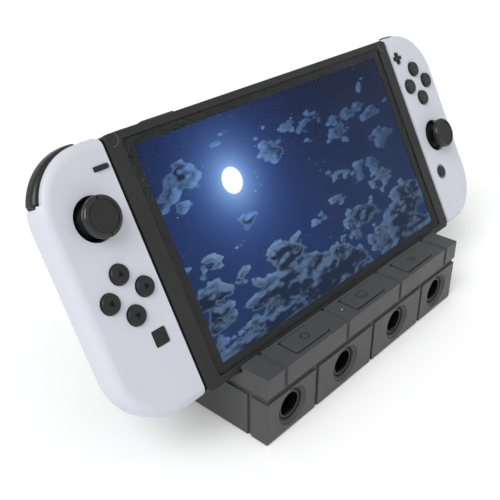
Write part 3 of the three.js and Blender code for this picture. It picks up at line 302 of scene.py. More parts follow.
def night_sky(picture):
    """The lit picture: a moon over a bank of clouds, with plain stars."""
    made = Nodes("display")
    fall = 2.718
    high = picture.v1 - picture.v0
    across = made.vector("DOT_PRODUCT", made.mm, U_AXIS)
    up = made.vector("DOT_PRODUCT", made.mm, V_AXIS)
    x = made.math("DIVIDE", made.math("SUBTRACT", across, picture.u0), high)
    y = made.math("DIVIDE", made.math("SUBTRACT", up, picture.v0 + V_ZERO / MM), high)
    join = made.tree.nodes.new("ShaderNodeCombineXYZ")
    made.put(join.inputs[0], x)
    made.put(join.inputs[1], y)
    flat = join.outputs[0]

    moon = Vector((0.44, 0.70, 0))
    from_moon = made.vector("SUBTRACT", flat, moon)
    far = made.vector("LENGTH", from_moon)
    toward = made.vector("SCALE", made.vector("NORMALIZE", from_moon), scale=-0.035)
    halo = made.math("POWER", fall, made.math("MULTIPLY", far, -4.8))
    glow = made.math("POWER", fall, made.math("MULTIPLY", far, -13.0))
    sky = made.mix(made.spread(y, 0.2, 1.0), (0.007, 0.021, 0.072, 1), (0.003, 0.007, 0.026, 1))
    sky = made.mix(made.math("MULTIPLY", halo, 0.85, clamp=True), sky, (0.014, 0.07, 0.40, 1))
    sky = made.mix(made.math("MULTIPLY", glow, 1.1, clamp=True), sky, (0.35, 0.62, 1.0, 1))

    points = made.spread(made.cells(flat, 30), 0.085, 0.03)
    star = made.math("MULTIPLY", points, made.spread(made.noise(flat, 9), 0.54, 0.6))
    sky = made.mix(star, sky, (0.55, 0.68, 0.95, 1))
    sky = made.mix(made.spread(far, 0.066, 0.058), sky, (1.0, 1.0, 1.0, 1))

    def puffs(where, scale):
        """How thick the cloud is: broad banks, broken into billows."""
        broad = made.noise(where, scale, detail=3, roughness=0.5)
        billow = made.tree.nodes.new("ShaderNodeTexVoronoi")
        billow.feature = "SMOOTH_F1"
        made.put(billow.inputs["Vector"], where)
        billow.inputs["Scale"].default_value = scale * 2.4
        billow.inputs["Detail"].default_value = 3.5
        billow.inputs["Roughness"].default_value = 0.6
        billow.inputs["Smoothness"].default_value = 0.25
        round_tops = made.math("SUBTRACT", 0.62, billow.outputs["Distance"])
        return made.math("ADD", broad, made.math("MULTIPLY", round_tops, 0.5))

    def clouds(below, where, scale, low, high, dark, pale, edge):
        """Lays clouds over what is below: dark bodies, lit on the side nearer the moon."""
        here = puffs(where, scale)
        nearer = puffs(made.vector("ADD", where, toward), scale)
        body = made.math("ADD", here, low)
        cover = made.spread(body, high, high + 0.035)
        lit = made.spread(made.math("SUBTRACT", here, nearer), -0.02, 0.12)
        near = made.math("ADD", made.math("MULTIPLY", halo, 1.6), 0.35, clamp=True)
        tone = made.mix(made.math("MULTIPLY", lit, near), dark, pale)
        rim = made.math("MULTIPLY", made.spread(body, high + 0.11, high + 0.02), near)
        tone = made.mix(made.math("MULTIPLY", rim, 0.7), tone, edge)
        return made.mix(cover, below, tone)

    stretched = made.vector("MULTIPLY", flat, (0.8, 1.5, 1.0))
    lifted = made.vector("ADD", stretched, (4.3, 2.1, 0.6))
    clear = made.spread(far, 0.19, 0.06)
    upper = made.math("MULTIPLY", made.math("ABSOLUTE", made.math("SUBTRACT", y, 0.82)), -0.3)
    upper = made.math("SUBTRACT", upper, made.math("MULTIPLY", clear, 0.35))
    tones = ((0.006, 0.013, 0.036, 1), (0.10, 0.21, 0.47, 1), (0.13, 0.25, 0.48, 1))
    scene = clouds(sky, lifted, 1.5, upper, 0.29, *tones)
    lower = made.math("MULTIPLY", made.math("SUBTRACT", 0.36, y), 1.15)
    tones = ((0.005, 0.012, 0.032, 1), (0.14, 0.25, 0.42, 1), (0.22, 0.36, 0.56, 1))
    scene = clouds(scene, stretched, 2.1, lower, 0.32, *tones)

    # the panel's own colour is a shade lighter under the moon's halo: a painted glow
    halo_glow_base = made.mix(halo, (0.003, 0.004, 0.006, 1), (0.005, 0.006, 0.009, 1))
    made.put(made.shader.inputs["Base Color"], halo_glow_base)
    made.put(made.shader.inputs["Roughness"], made.spread(made.noise(flat, 3), 0.3, 0.7, 0.5, 0.6))
    made.shader.inputs["Specular IOR Level"].default_value = 0.1
    made.put(made.shader.inputs["Emission Color"], scene)
    made.shader.inputs["Emission Strength"].default_value = 1.2
    return made.material


def lamp_material(lamp):
    """A green lens that is bright only over the diode behind its middle."""
    made = Nodes("status_light")
    centre = Vector((lamp.u, lamp.v, lamp.n1))
    far = made.vector("LENGTH", made.vector("SUBTRACT", made.mm, centre))
    shimmer = made.math("MULTIPLY", made.noise(made.mm, 2.5), 0.2)
    lit = made.spread(made.math("ADD", far, shimmer), 0.65, 0.2)
    made.put(made.shader.inputs["Emission Color"], made.mix(lit, (0.0, 0.02, 0.006, 1), (0.03, 0.75, 0.2, 1)))
    # the lens's own colour is also lighter over the diode: a painted glow, on top of its real emission
    made.put(made.shader.inputs["Base Color"], made.mix(lit, (0.02, 0.05, 0.03, 1), (0.08, 0.4, 0.16, 1)))
    made.put(made.shader.inputs["Roughness"], made.spread(lit, 0.0, 1.0, 0.35, 0.2))
    made.shader.inputs["Emission Strength"].default_value = 1.0
    return made.material


PICTURE = Span("display_panel")
# colour, roughness, grains per mm, grain depth, mottle, gloss, metallic
MOULDED = {
    "white_plastic": ((0.545, 0.563, 0.622), 0.4, 3.5, 0.004, 0.012, 0.35),
    "black_plastic": ((0.013, 0.0127, 0.013), 0.3, 5, 0.004, 0.08, 0.35),
    "gloss_black": ((0.013, 0.013, 0.013), 0.2, 5, 0.003, 0.08, 0.5),
    "cap_rubber": ((0.020, 0.020, 0.0205), 0.55, 6, 0.012, 0.08, 0.25),
    # near-black fill of engraved marks: the marks' own dark colour, deepened as painted shade in the cut
    "mark": ((0.004, 0.004, 0.004), 0.5, 6, 0.003, 0.08, 0.15),
    "pale_mark": ((0.11, 0.11, 0.115), 0.5, 6, 0.003, 0.06, 0.3),
    "ring_light": ((0.19, 0.19, 0.20), 0.45, 6, 0.003, 0.05, 0.3),
    "rail_mark": ((0.085, 0.082, 0.08), 0.45, 6, 0.003, 0.05, 0.3),
    "frame_plastic": ((0.024, 0.024, 0.0246), 0.46, 5, 0.008, 0.06, 0.22),
    "bezel_ink": ((0.026, 0.026, 0.0265), 0.6, 5, 0.002, 0.05, 0.15),
    # near-black, darker than any real plastic here: painted shade for the socket insides and the stick
    # openings
    "dark_plastic": ((0.004, 0.004, 0.0042), 0.5, 5, 0.006, 0.1, 0.12),
    "socket_plastic": ((0.035, 0.035, 0.036), 0.5, 5, 0.006, 0.08, 0.3),
    "contact": ((0.16, 0.155, 0.15), 0.4, 8, 0.002, 0.08, 0.5, 1.0),
    "dock_plastic": ((0.054, 0.054, 0.0556), 0.42, 3.2, 0.02, 0.06, 0.32),
    "rubber": ((0.016, 0.016, 0.016), 0.85, 3, 0.02, 0.1, 0.2),
    "metal": ((0.42, 0.43, 0.45), 0.34, 7, 0.003, 0.06, 0.5, 1.0),
    "circuit_board": ((0.02, 0.12, 0.06), 0.4, 1.2, 0.01, 0.25),
}
MATERIALS = {name: moulded(name, *values) for name, values in MOULDED.items()}
MATERIALS["status_light"] = lamp_material(Span("status_light", leaning=False))
MATERIALS["cover_glass"] = glass()
MATERIALS["display"] = night_sky(PICTURE)

# ---------------------------------------------------------------- mesh tools, in millimetres


def raw(name, vertices, faces):
    mesh = bpy.data.meshes.new(name)
    mesh.from_pydata([tuple(vertex) for vertex in vertices], [], faces)
    made = bmesh.new()
    made.from_mesh(mesh)
    bmesh.ops.remove_doubles(made, verts=made.verts, dist=1e-5)
    bmesh.ops.recalc_face_normals(made, faces=made.faces)
    made.to_mesh(mesh)
    made.free()
    piece = bpy.data.objects.new(name, mesh)
    bpy.context.collection.objects.link(piece)
    return piece


def baked(piece):
    """The piece's mesh with its modifiers applied."""
    bpy.context.view_layer.update()
    graph = bpy.context.evaluated_depsgraph_get()
    mesh = bpy.data.meshes.new_from_object(piece.evaluated_get(graph))
    piece.modifiers.clear()
    old, piece.data = piece.data, mesh
    bpy.data.meshes.remove(old)
    return piece


def combine(piece, others, operation="DIFFERENCE"):
    """Cuts, joins or intersects a piece with others, which are used up."""
    for other in others:
        step = piece.modifiers.new("boolean", "BOOLEAN")
        step.operation = operation
        step.solver = "EXACT"
        step.object = other
    baked(piece)
    for other in others:
        bpy.data.objects.remove(other)
    return piece


def bevelled(piece, width, segments=2, angle=35):
    step = piece.modifiers.new("bevel", "BEVEL")
    step.width = width
    step.segments = segments
    step.limit_method = "ANGLE"
    step.angle_limit = math.radians(angle)
    step.use_clamp_overlap = False
    step.miter_outer = "MITER_ARC"
    return baked(piece)


def finished(piece, place, side=1, crease=32):
    """Puts a piece where it belongs, in metres, and smooths its curved faces only."""
    piece.data.transform(place @ Matrix.Diagonal((side, 1, 1, 1)))
    if side < 0:
        piece.data.flip_normals()
    piece.data.shade_smooth()
    piece.data.set_sharp_from_angle(angle=math.radians(crease))
    step = piece.modifiers.new("normals", "WEIGHTED_NORMAL")
    step.keep_sharp = True
    step.weight = 60
    return baked(piece)


def coated(piece, material):
    piece.data.materials.clear()
    piece.data.materials.append(MATERIALS[material])
    return piece


def arc(x, y, radius, start, end, steps):
    """Points round (x, y), between two angles in degrees."""
    angles = [math.radians(start + (end - start) * i / steps) for i in range(steps + 1)]
    return [(x + radius * math.cos(a), y + radius * math.sin(a)) for a in angles]


def circle(radius, steps, x=0, y=0):
    return arc(x, y, radius, 0, 360, steps)[:-1]


def rounded(x0, x1, y0, y1, radii, steps=8):
    """A rectangle with its own radius at each corner: bottom right, top right, top left, bottom left."""
    if not isinstance(radii, (tuple, list)):
        radii = (radii,) * 4
    corners = ((x1, y0, -90), (x1, y1, 0), (x0, y1, 90), (x0, y0, 180))
    outline = []
    for (x, y, start), radius in zip(corners, radii):
        inward = (math.cos(math.radians(start + 45)), math.sin(math.radians(start + 45)))
        centre = (x - math.copysign(radius, inward[0]), y - math.copysign(radius, inward[1]))
        outline += arc(*centre, radius, start, start + 90, steps)
    return outline


def within(box, inset, radii, steps):
    """A rounded rectangle that far inside a box."""
    return rounded(box.u0 + inset, box.u1 - inset, box.v0 + inset, box.v1 - inset, radii, steps)


def layered(name, layers):
    """A closed body from outlines of one point count, each at its own height."""
    count = len(layers[0][0])
    vertices = [(x, y, z) for outline, z in layers for x, y in outline]
    faces = [list(range(count))[::-1], [len(vertices) - count + i for i in range(count)]]
    for layer in range(len(layers) - 1):
        for i in range(count):
            a, b = layer * count + i, layer * count + (i + 1) % count
            faces.append([a, b, b + count, a + count])
    return raw(name, vertices, faces)


def prism(name, outline, z0, z1):
    return layered(name, [(outline, z0), (outline, z1)])


def soft_prism(name, shape, z0, z1, low=0.0, high=0.0, steps=4):
    """A prism with rounded end edges; shape(inset) gives its outline."""
    turns = [math.pi / 2 * i / steps for i in range(steps + 1)]
    layers = []
    if low:
        layers += [(shape(low * (1 - math.sin(a))), z0 + low * (1 - math.cos(a))) for a in turns]
    else:
        layers.append((shape(0), z0))
    if high:
        layers += [(shape(high * (1 - math.cos(a))), z1 - high * (1 - math.sin(a))) for a in turns]
    else:
        layers.append((shape(0), z1))
    return layered(name, layers)


def block(name, x, y, z):
    return prism(name, [(x[0], y[0]), (x[1], y[0]), (x[1], y[1]), (x[0], y[1])], *z)


def lathe(name, profile, centre=(0, 0), segments=FINE):
    """Turns (radius, height) points about the upright through centre; they start and end on it."""
    vertices, rows = [], []
    for radius, height in profile:
        if radius < 1e-6:
            rows.append([len(vertices)])
            vertices.append((centre[0], centre[1], height))
            continue
        rows.append([len(vertices) + i for i in range(segments)])
        for i in range(segments):
            turn = 2 * math.pi * i / segments
            x, y = centre[0] + radius * math.cos(turn), centre[1] + radius * math.sin(turn)
            vertices.append((x, y, height))
    faces = []
    for low, high in zip(rows, rows[1:]):
        for i in range(segments):
            j = (i + 1) % segments
            loop = [low[i % len(low)], low[j % len(low)], high[j % len(high)], high[i % len(high)]]
            faces.append(list(dict.fromkeys(loop)))
    return raw(name, vertices, [face for face in faces if len(face) > 2])


def disc_profile(radius, z0, z1, low=0.0, high=0.0, steps=5, crown=0.0):
    """A disc's profile with rounded rims and a slightly domed top."""
    turns = [math.pi / 2 * i / steps for i in range(steps + 1)]
    points = [(0, z0)]
    if low:
        points += [(radius - low + low * math.sin(a), z0 + low - low * math.cos(a)) for a in turns]
    else:
        points.append((radius, z0))
    if high:
        points += [(radius - high + high * math.cos(a), z1 - high + high * math.sin(a)) for a in turns]
    else:
        points.append((radius, z1))
    flat = radius - high
    points += [(flat * share, z1 + crown * (1 - share * share)) for share in (0.75, 0.5, 0.25)]
    return points + [(0, z1 + crown)]


def flared_hole(name, radius, lip, centre, depth, segments=HOLE_FINE):
    """A cutter for a round hole in the face at height 0, with a rounded mouth."""
    turns = [math.pi / 2 * i / 5 for i in range(6)]
    mouth = [(radius + lip * (1 - math.cos(a)), lip * (math.sin(a) - 1)) for a in turns]
    return lathe(name, [(0, -depth), (radius, -depth), *mouth, (radius + lip, 1), (0, 1)], centre, segments)


def shaped_hole(name, shape, lip, centre, depth):
    """The same for any outline; shape(inset) gives it, and a negative inset grows it."""
    turns = [math.pi / 2 * i / 3 for i in range(4)]
    layers = [(shape(0), -depth)]
    layers += [(shape(-lip * (1 - math.cos(a))), lip * (math.sin(a) - 1)) for a in turns]
    cutter = layered(name, layers + [(shape(-lip), 1)])
    cutter.data.transform(Matrix.Translation((*centre, 0)))
    return cutter


def sector(name, centre, profile, start, end, steps=40, round_end=0.8):
    """A closed (radius, height) profile swept round a centre, between two angles, with softened ends."""
    middle = (sum(r for r, _ in profile) / len(profile), sum(z for _, z in profile) / len(profile))
    length = math.radians(end - start) * middle[0]
    soft = round_end / length
    shares = [soft * (1 - math.cos(math.pi / 2 * i / 4)) for i in range(5)]
    shares += [soft + (1 - 2 * soft) * i / steps for i in range(1, steps)]
    shares += [1 - share for share in shares[:5]][::-1]
    vertices = []
    for share in shares:
        near = min(share, 1 - share) / soft
        shrink = round_end * (1 - math.sqrt(max(0.0, 1 - (1 - min(near, 1)) ** 2)))
        turn = math.radians(start + (end - start) * share)
        for radius, height in profile:
            offset = Vector((radius - middle[0], height - middle[1]))
            offset *= max(0.05, (offset.length - shrink) / offset.length)
            r, z = middle[0] + offset.x, middle[1] + offset.y
            vertices.append((centre[0] + r * math.cos(turn), centre[1] + r * math.sin(turn), z))
    count, rows = len(profile), len(shares)
    faces = [list(range(count))[::-1], [(rows - 1) * count + i for i in range(count)]]
    for row in range(rows - 1):
        for i in range(count):
            a, b = row * count + i, row * count + (i + 1) % count
            faces.append([a, b, b + count, a + count])
    return raw(name, vertices, faces)


def filleted(points, radius, steps=4):
    """A polygon with its corners rounded."""
    outline = []
    for i, point in enumerate(points):
        corner, before = Vector(point), Vector(points[i - 1])
        after = Vector(points[(i + 1) % len(points)])
        back, on = (before - corner), (after - corner)
        reach = min(radius, back.length * 0.45, on.length * 0.45)
        start, end = corner + back.normalized() * reach, corner + on.normalized() * reach
        for k in range(steps + 1):
            t = k / steps
            spot = start * (1 - t) ** 2 + corner * 2 * t * (1 - t) + end * t * t
            outline.append((spot.x, spot.y))
    return outline


def retoned(piece, material, chosen):
    """Gives a second material to the faces whose centre is chosen."""
    piece.data.materials.append(MATERIALS[material])
    for face in piece.data.polygons:
        if chosen(face.center):
            face.material_index = len(piece.data.materials) - 1
    return piece


def joined(name, parts):
    """Several meshes with their own materials as one object."""
    made = bmesh.new()
    materials = []
    for piece in parts:
        own = list(piece.data.materials)
        materials += [material for material in own if material not in materials]
        start = len(made.faces)
        made.from_mesh(piece.data)
        made.faces.ensure_lookup_table()
        for face in made.faces[start:]:
            face.material_index = materials.index(own[face.material_index])
    mesh = bpy.data.meshes.new(name)
    made.to_mesh(mesh)
    made.free()
    for material in materials:
        mesh.materials.append(material)
    for piece in parts:
        bpy.data.objects.remove(piece)
    whole = bpy.data.objects.new(name, mesh)
    bpy.context.collection.objects.link(whole)
    return whole


def settle(piece, body, *nodes):
    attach(piece, body)
    if nodes:
        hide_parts(*nodes)
    return piece


def refined(node, width=0.3, segments=2, material=None):
    """A detailed copy of a flat-sided CAD node, with its edges rounded; it stands for the node."""
    source = frame["nodes"][node]
    made = bmesh.new()
    made.from_mesh(source.data)
    made.transform(Matrix.Scale(1 / MM, 4))
    bmesh.ops.remove_doubles(made, verts=made.verts, dist=1e-3)
    bmesh.ops.dissolve_limit(made, angle_limit=math.radians(1), verts=made.verts, edges=made.edges)
    mesh = bpy.data.meshes.new(node + "_fine")
    made.to_mesh(mesh)
    made.free()
    piece = bpy.data.objects.new(node + "_fine", mesh)
    bpy.context.collection.objects.link(piece)
    bevelled(piece, width, segments)
    finished(piece, UPRIGHT)
    slot = next(part["material_slot"] for part in frame["record"]["subparts"] if part["node"] == node)
    coated(piece, material or slot)
    return settle(piece, source["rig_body"], node)


# ---------------------------------------------------------------- dock


def dock_lower_housing():
    box = Span("dock_lower_housing", leaning=False)
    top = Span("dock_top_cover", leaning=False)
    body = block("dock_housing", (box.u0, box.u1), (box.v0, box.v1), (box.n0, box.n1))
    bevelled(body, DOCK_EDGE, 3)
    cutters = [
        block(
            "inside",
            (box.u0 + DOCK_WALL, box.u1 - DOCK_WALL),
            (box.v0 + DOCK_WALL + GROOVE_DEPTH, box.v1 - DOCK_WALL),
            (box.n0 - 1, box.n1 + 1),
        )
    ]
    split = (box.n1 + top.n0) / 2
    band = rounded(box.u0 - 1, box.u1 + 1, box.v0 - 1, box.v1 + 1, 0.5, 2)
    core = rounded(
        box.u0 + GROOVE_DEPTH, box.u1 - GROOVE_DEPTH, box.v0 + GROOVE_DEPTH, box.v1 - GROOVE_DEPTH, 0.3, 2
    )
    groove = prism("band", band, split - BAND_HEIGHT, box.n1 + 1)
    combine(groove, [prism("core", core, box.n0, box.n1 + 2)])
    cutters.append(groove)
    ports = [Span(f"controller_port_{i}", leaning=False) for i in range(1, 5)]
    outer_groove = ports[2].u * 2
    for x in (-outer_groove, 0, outer_groove):
        cutters.append(
            block(
                "groove",
                (x - GROOVE_WIDTH / 2, x + GROOVE_WIDTH / 2),
                (box.v0 - 1, box.v0 + GROOVE_DEPTH),
                (box.n0 - 1, box.n1 + 1),
            )
        )
    side_front = box.v0 + SIDE_GROOVE_BACK
    for x in ((box.u0 - 1, box.u0 + GROOVE_DEPTH), (box.u1 - GROOVE_DEPTH, box.u1 + 1)):
        along_y = (side_front, side_front + GROOVE_WIDTH)
        cutters.append(block("side_groove", x, along_y, (box.n0 - 1, box.n1 + 1)))
    for port in ports:
        mouth = [
            (0, -1),
            (SOCKET_BEVEL_RADIUS + 0.8, -1),
            (SOCKET_BEVEL_RADIUS + 0.25, -0.05),
            (SOCKET_BEVEL_RADIUS, 0.12),
            (SOCKET_BEVEL_RADIUS - 0.2, 0.45),
            (SOCKET_BEVEL_RADIUS - 0.5, 0.95),
            (SOCKET_RADIUS + 0.15, 1.25),
            (SOCKET_RADIUS, 1.45),
            (SOCKET_RADIUS, DOCK_WALL + GROOVE_DEPTH + 1),
            (0, DOCK_WALL + GROOVE_DEPTH + 1),
        ]
        cutter = lathe("mouth", mouth, segments=FINE)
        cutter.data.transform(Matrix.Translation((port.u, box.v0, port.n)) @ TIPPED)
        cutters.append(cutter)
    for x, width, height in REAR_PORTS:
        shape = rounded(x - width / 2, x + width / 2, -height / 2, height / 2, 0.6, 3)
        cutter = prism("rear_opening", shape, -DOCK_WALL - 1, 1)
        cutter.data.transform(Matrix.Translation((0, box.v1, REAR_PORT_HEIGHT)) @ TIPPED)
        cutters.append(cutter)
    combine(body, cutters)
    coated(finished(body, UPRIGHT), "dock_plastic")
    settle(body, "dock", "dock_lower_housing")


def controller_port(index):
    """A round socket: a collar in a deep ring, its keyed bore, a post and a ring of contacts."""
    name = f"controller_port_{index}"
    box = Span(name, leaning=False)
    radius = (box.u1 - box.u0) / 2
    depth = box.v1 - box.v0
    lip, trench = 0.3, 3
    body = lathe(
        "socket",
        [
            (0, depth - 1),
            (SOCKET_BORE_RADIUS, depth - 1),
            (SOCKET_BORE_RADIUS, lip),
            (SOCKET_BORE_RADIUS + lip * 0.3, lip * 0.3),
            (SOCKET_BORE_RADIUS + lip, 0),
            (SOCKET_COLLAR_RADIUS - lip, 0),
            (SOCKET_COLLAR_RADIUS - lip * 0.3, lip * 0.3),
            (SOCKET_COLLAR_RADIUS, lip),
            (SOCKET_COLLAR_RADIUS, trench),
            (radius - 0.5, trench),
            (radius - 0.5, 0),
            (radius, 0),
            (radius, depth),
            (0, depth),
        ],
    )
    flat = block("flat", (-4, 4), (4.1, SOCKET_COLLAR_RADIUS - 0.6), (0.4, depth - 0.5))
    key = block("key", (-1, 1), (-SOCKET_COLLAR_RADIUS + 0.6, -3.9), (2, depth - 0.5))
    combine(body, [flat, key], "UNION")
    post = lathe("post", disc_profile(1.9, 4, depth - 0.5, low=0.4, steps=3), segments=32)
    coated(body, "socket_plastic")
    # the socket's faces deeper than its lip, and its post, get the near-black: painted shade in the recess
    retoned(body, "dark_plastic", lambda at: at.z > lip + 0.05)
    parts = [body, coated(post, "dark_plastic")]
    for turn in range(8):
        angle = math.radians(22.5 + 45 * turn)
        spot = (3.3 * math.cos(angle), 3.3 * math.sin(angle))
        pin = lathe("pin", disc_profile(0.35, 4.5, depth - 0.5, low=0.3, steps=3), spot, 12)
        parts.append(coated(pin, "contact"))
    whole = joined(name + "_fine", parts)
    place = Matrix.Translation((box.u * MM, box.v0 * MM, box.n * MM)) @ TIPPED @ UPRIGHT
    finished(whole, place)
    settle(whole, "dock", name)


def outlined(name, shape, width):
    """A line of that width just inside an outline; shape(inset) gives the outline."""
    line = prism(name, shape(0), -MARK_DEPTH, 1)
    return combine(line, [prism("hole", shape(width), -1, 2)])


def ring_mark():
    """A plain open ring."""
    return outlined("ring", lambda inset: circle(2.1 - inset, 40), 0.45)


def monitor_mark():
    """A monitor on its foot."""

    def shape(inset):
        return rounded(-2.9 + inset, 2.9 - inset, -1.2 + inset, 2.3 - inset, 0.4, 3)

    screen = outlined("screen", shape, 0.4)
    return combine(screen, [block("foot", (-1.6, 1.6), (-2.3, -1.85), (-MARK_DEPTH, 1))], "UNION")


def fast_mark():
    """Two chevrons."""
    chevrons = []
    for x in (-2.2, 0.2):
        outline = [(x, -1.8), (x + 0.7, -1.8), (x + 2.2, 0), (x + 0.7, 1.8), (x, 1.8), (x + 1.5, 0)]
        chevrons.append(prism("chevron", outline, -MARK_DEPTH, 1))
    return combine(chevrons[0], chevrons[1:], "UNION")


def engraved(cap, cutter, place, height):
    """Cuts a mark into a cap's top, and returns the dark fill at the bottom of the cut; its near-black is
    partly the mark's own colour and partly painted shade in the cut.
    """
    cutter.data.transform(Matrix.Translation((*place, height)))
    fill = bpy.data.objects.new("fill", cutter.data.copy())
    bpy.context.collection.objects.link(fill)
    combine(cap, [cutter])
    x, y = ((middle - 8, middle + 8) for middle in place)
    slab = block("slab", x, y, (height - 1, height - MARK_DEPTH + 0.04))
    return combine(fill, [slab], "INTERSECT")


def dock_key(side, mark):
    name = "dock_key_" + side
    box = Span(name, leaning=False)
    top = Span("dock_top_cover", leaning=False)

    def shape(inset):
        half = KEY_WIDTH / 2 - inset
        corner = max(KEY_CORNER - inset, 0.3)
        return rounded(box.u - half, box.u + half, box.v0 + inset, box.v1 - inset, corner, 6)

    cap = soft_prism("cap", shape, top.n1 - DOCK_WALL + 0.7, box.n1, high=0.3, steps=4)
    # the label's near-black fill is partly painted shade in the engraving
    dark = coated(engraved(cap, mark(), (box.u, box.v), box.n1), "mark")
    under = top.n1 - DOCK_WALL
    flange = block("flange", (box.u0, box.u1), (box.v0 + 0.7, box.v1 - 2.4), (box.n0, under - 0.3))
    foot_y = (box.v0 + 1.1, box.v1 - 2.6)
    foot = block("foot", (box.u0 + 2.6, box.u1 - 2.6), foot_y, (box.n0 + 0.2, under + 1.2))
    parts = [coated(piece, "dock_plastic") for piece in (cap, flange, foot)]
    whole = joined(name + "_fine", [*parts, dark])
    finished(whole, UPRIGHT)
    settle(whole, name, name)


def dock():
    dock_lower_housing()
    refined("dock_top_cover", DOCK_EDGE, 3)
    refined("dock_base_plate", 0.3, 2)
    refined("dock_back_rest", 0.6, 3)
    refined("dock_foot", 0.12, 2)
    refined("rear_port_block", 0.15, 2)
    refined("docking_plug", 0.25, 2)
    refined("dock_circuit_board", 0.1, 1)
    for index in range(1, 5):
        controller_port(index)
    dock_key("left", ring_mark)
    dock_key("centre", monitor_mark)
    dock_key("right", fast_mark)
    light = Span("status_light", leaning=False)
    radius = (light.u1 - light.u0) / 2
    profile = disc_profile(radius, light.n0, light.n1 - 0.05, high=0.2, steps=4, crown=0.05)
    pipe = lathe("light", profile, (light.u, light.v), 32)
    coated(finished(pipe, UPRIGHT), "status_light")
    pipe.name = "status_light_fine"
    settle(pipe, "dock", "status_light")


# ---------------------------------------------------------------- console


def console_outline(box):
    return lambda inset: within(box, inset, max(CONSOLE_CORNER - inset, 0.2), 6)


def rail_spaces(box):
    rail = Span("right_rail")
    return [
        block(
            "rail_space",
            (rail.u0 - 0.3, box.u1 + 1) if side > 0 else (-box.u1 - 1, -rail.u0 + 0.3),
            (rail.v0 - 0.3, box.v1 + 1),
            (rail.n0 - 0.3, rail.n1 + 0.3),
        )
        for side in (1, -1)
    ]


def console_front_frame():
    box = Span("console_front_frame")
    pane = Span("cover_glass")
    body = soft_prism("console_frame", console_outline(box), box.n0, box.n1, high=FRAME_EDGE, steps=5)

    def pocket(inset):
        u0, u1 = pane.u0 - POCKET_GAP + inset, pane.u1 + POCKET_GAP - inset
        v0, v1 = pane.v0 - POCKET_GAP + inset, pane.v1 + POCKET_GAP - inset
        return rounded(u0, u1, v0, v1, GLASS_CORNER + POCKET_GAP, 6)

    window = block(
        "window", (PICTURE.u0 - 0.3, PICTURE.u1 + 0.3), (PICTURE.v0 - 0.3, PICTURE.v1 + 0.3), (box.n0 - 1, 1)
    )
    inside = block(
        "inside",
        (-box.u1 + 6, box.u1 - 6),
        (CONSOLE_END_WALL, box.v1 - CONSOLE_END_WALL),
        (box.n0 - 1, pane.n0 - 2.1),
    )
    seat = shaped_hole("pocket", pocket, 0.12, (0, 0), -pane.n0 + 0.25)
    combine(body, [seat, window, inside, *rail_spaces(box)])
    coated(finished(body, LEAN), "frame_plastic")
    settle(body, "console", "console_front_frame")


def cover_glass():
    box = Span("cover_glass")

    def shape(inset):
        return within(box, inset, GLASS_CORNER, 6)

    pane = soft_prism("cover_pane", shape, box.n0, box.n1, low=0.08, high=0.12, steps=3)
    coated(finished(pane, LEAN), "cover_glass")
    settle(pane, "console", "cover_glass")
    ink = prism("bezel_ink", within(box, 0.1, GLASS_CORNER, 6), box.n0 - 0.07, box.n0 - 0.02)
    combine(ink, [block("window", (PICTURE.u0, PICTURE.u1), (PICTURE.v0, PICTURE.v1), (box.n0 - 1, 1))])
    coated(finished(ink, LEAN), "bezel_ink")
    settle(ink, "console")


def display_panel():
    def shape(inset):
        return within(PICTURE, inset, 0.5, 3)

    panel = soft_prism("display_plate", shape, PICTURE.n0, PICTURE.n1, low=0.1, high=0.05, steps=2)
    coated(finished(panel, LEAN), "display")
    settle(panel, "console", "display_panel")


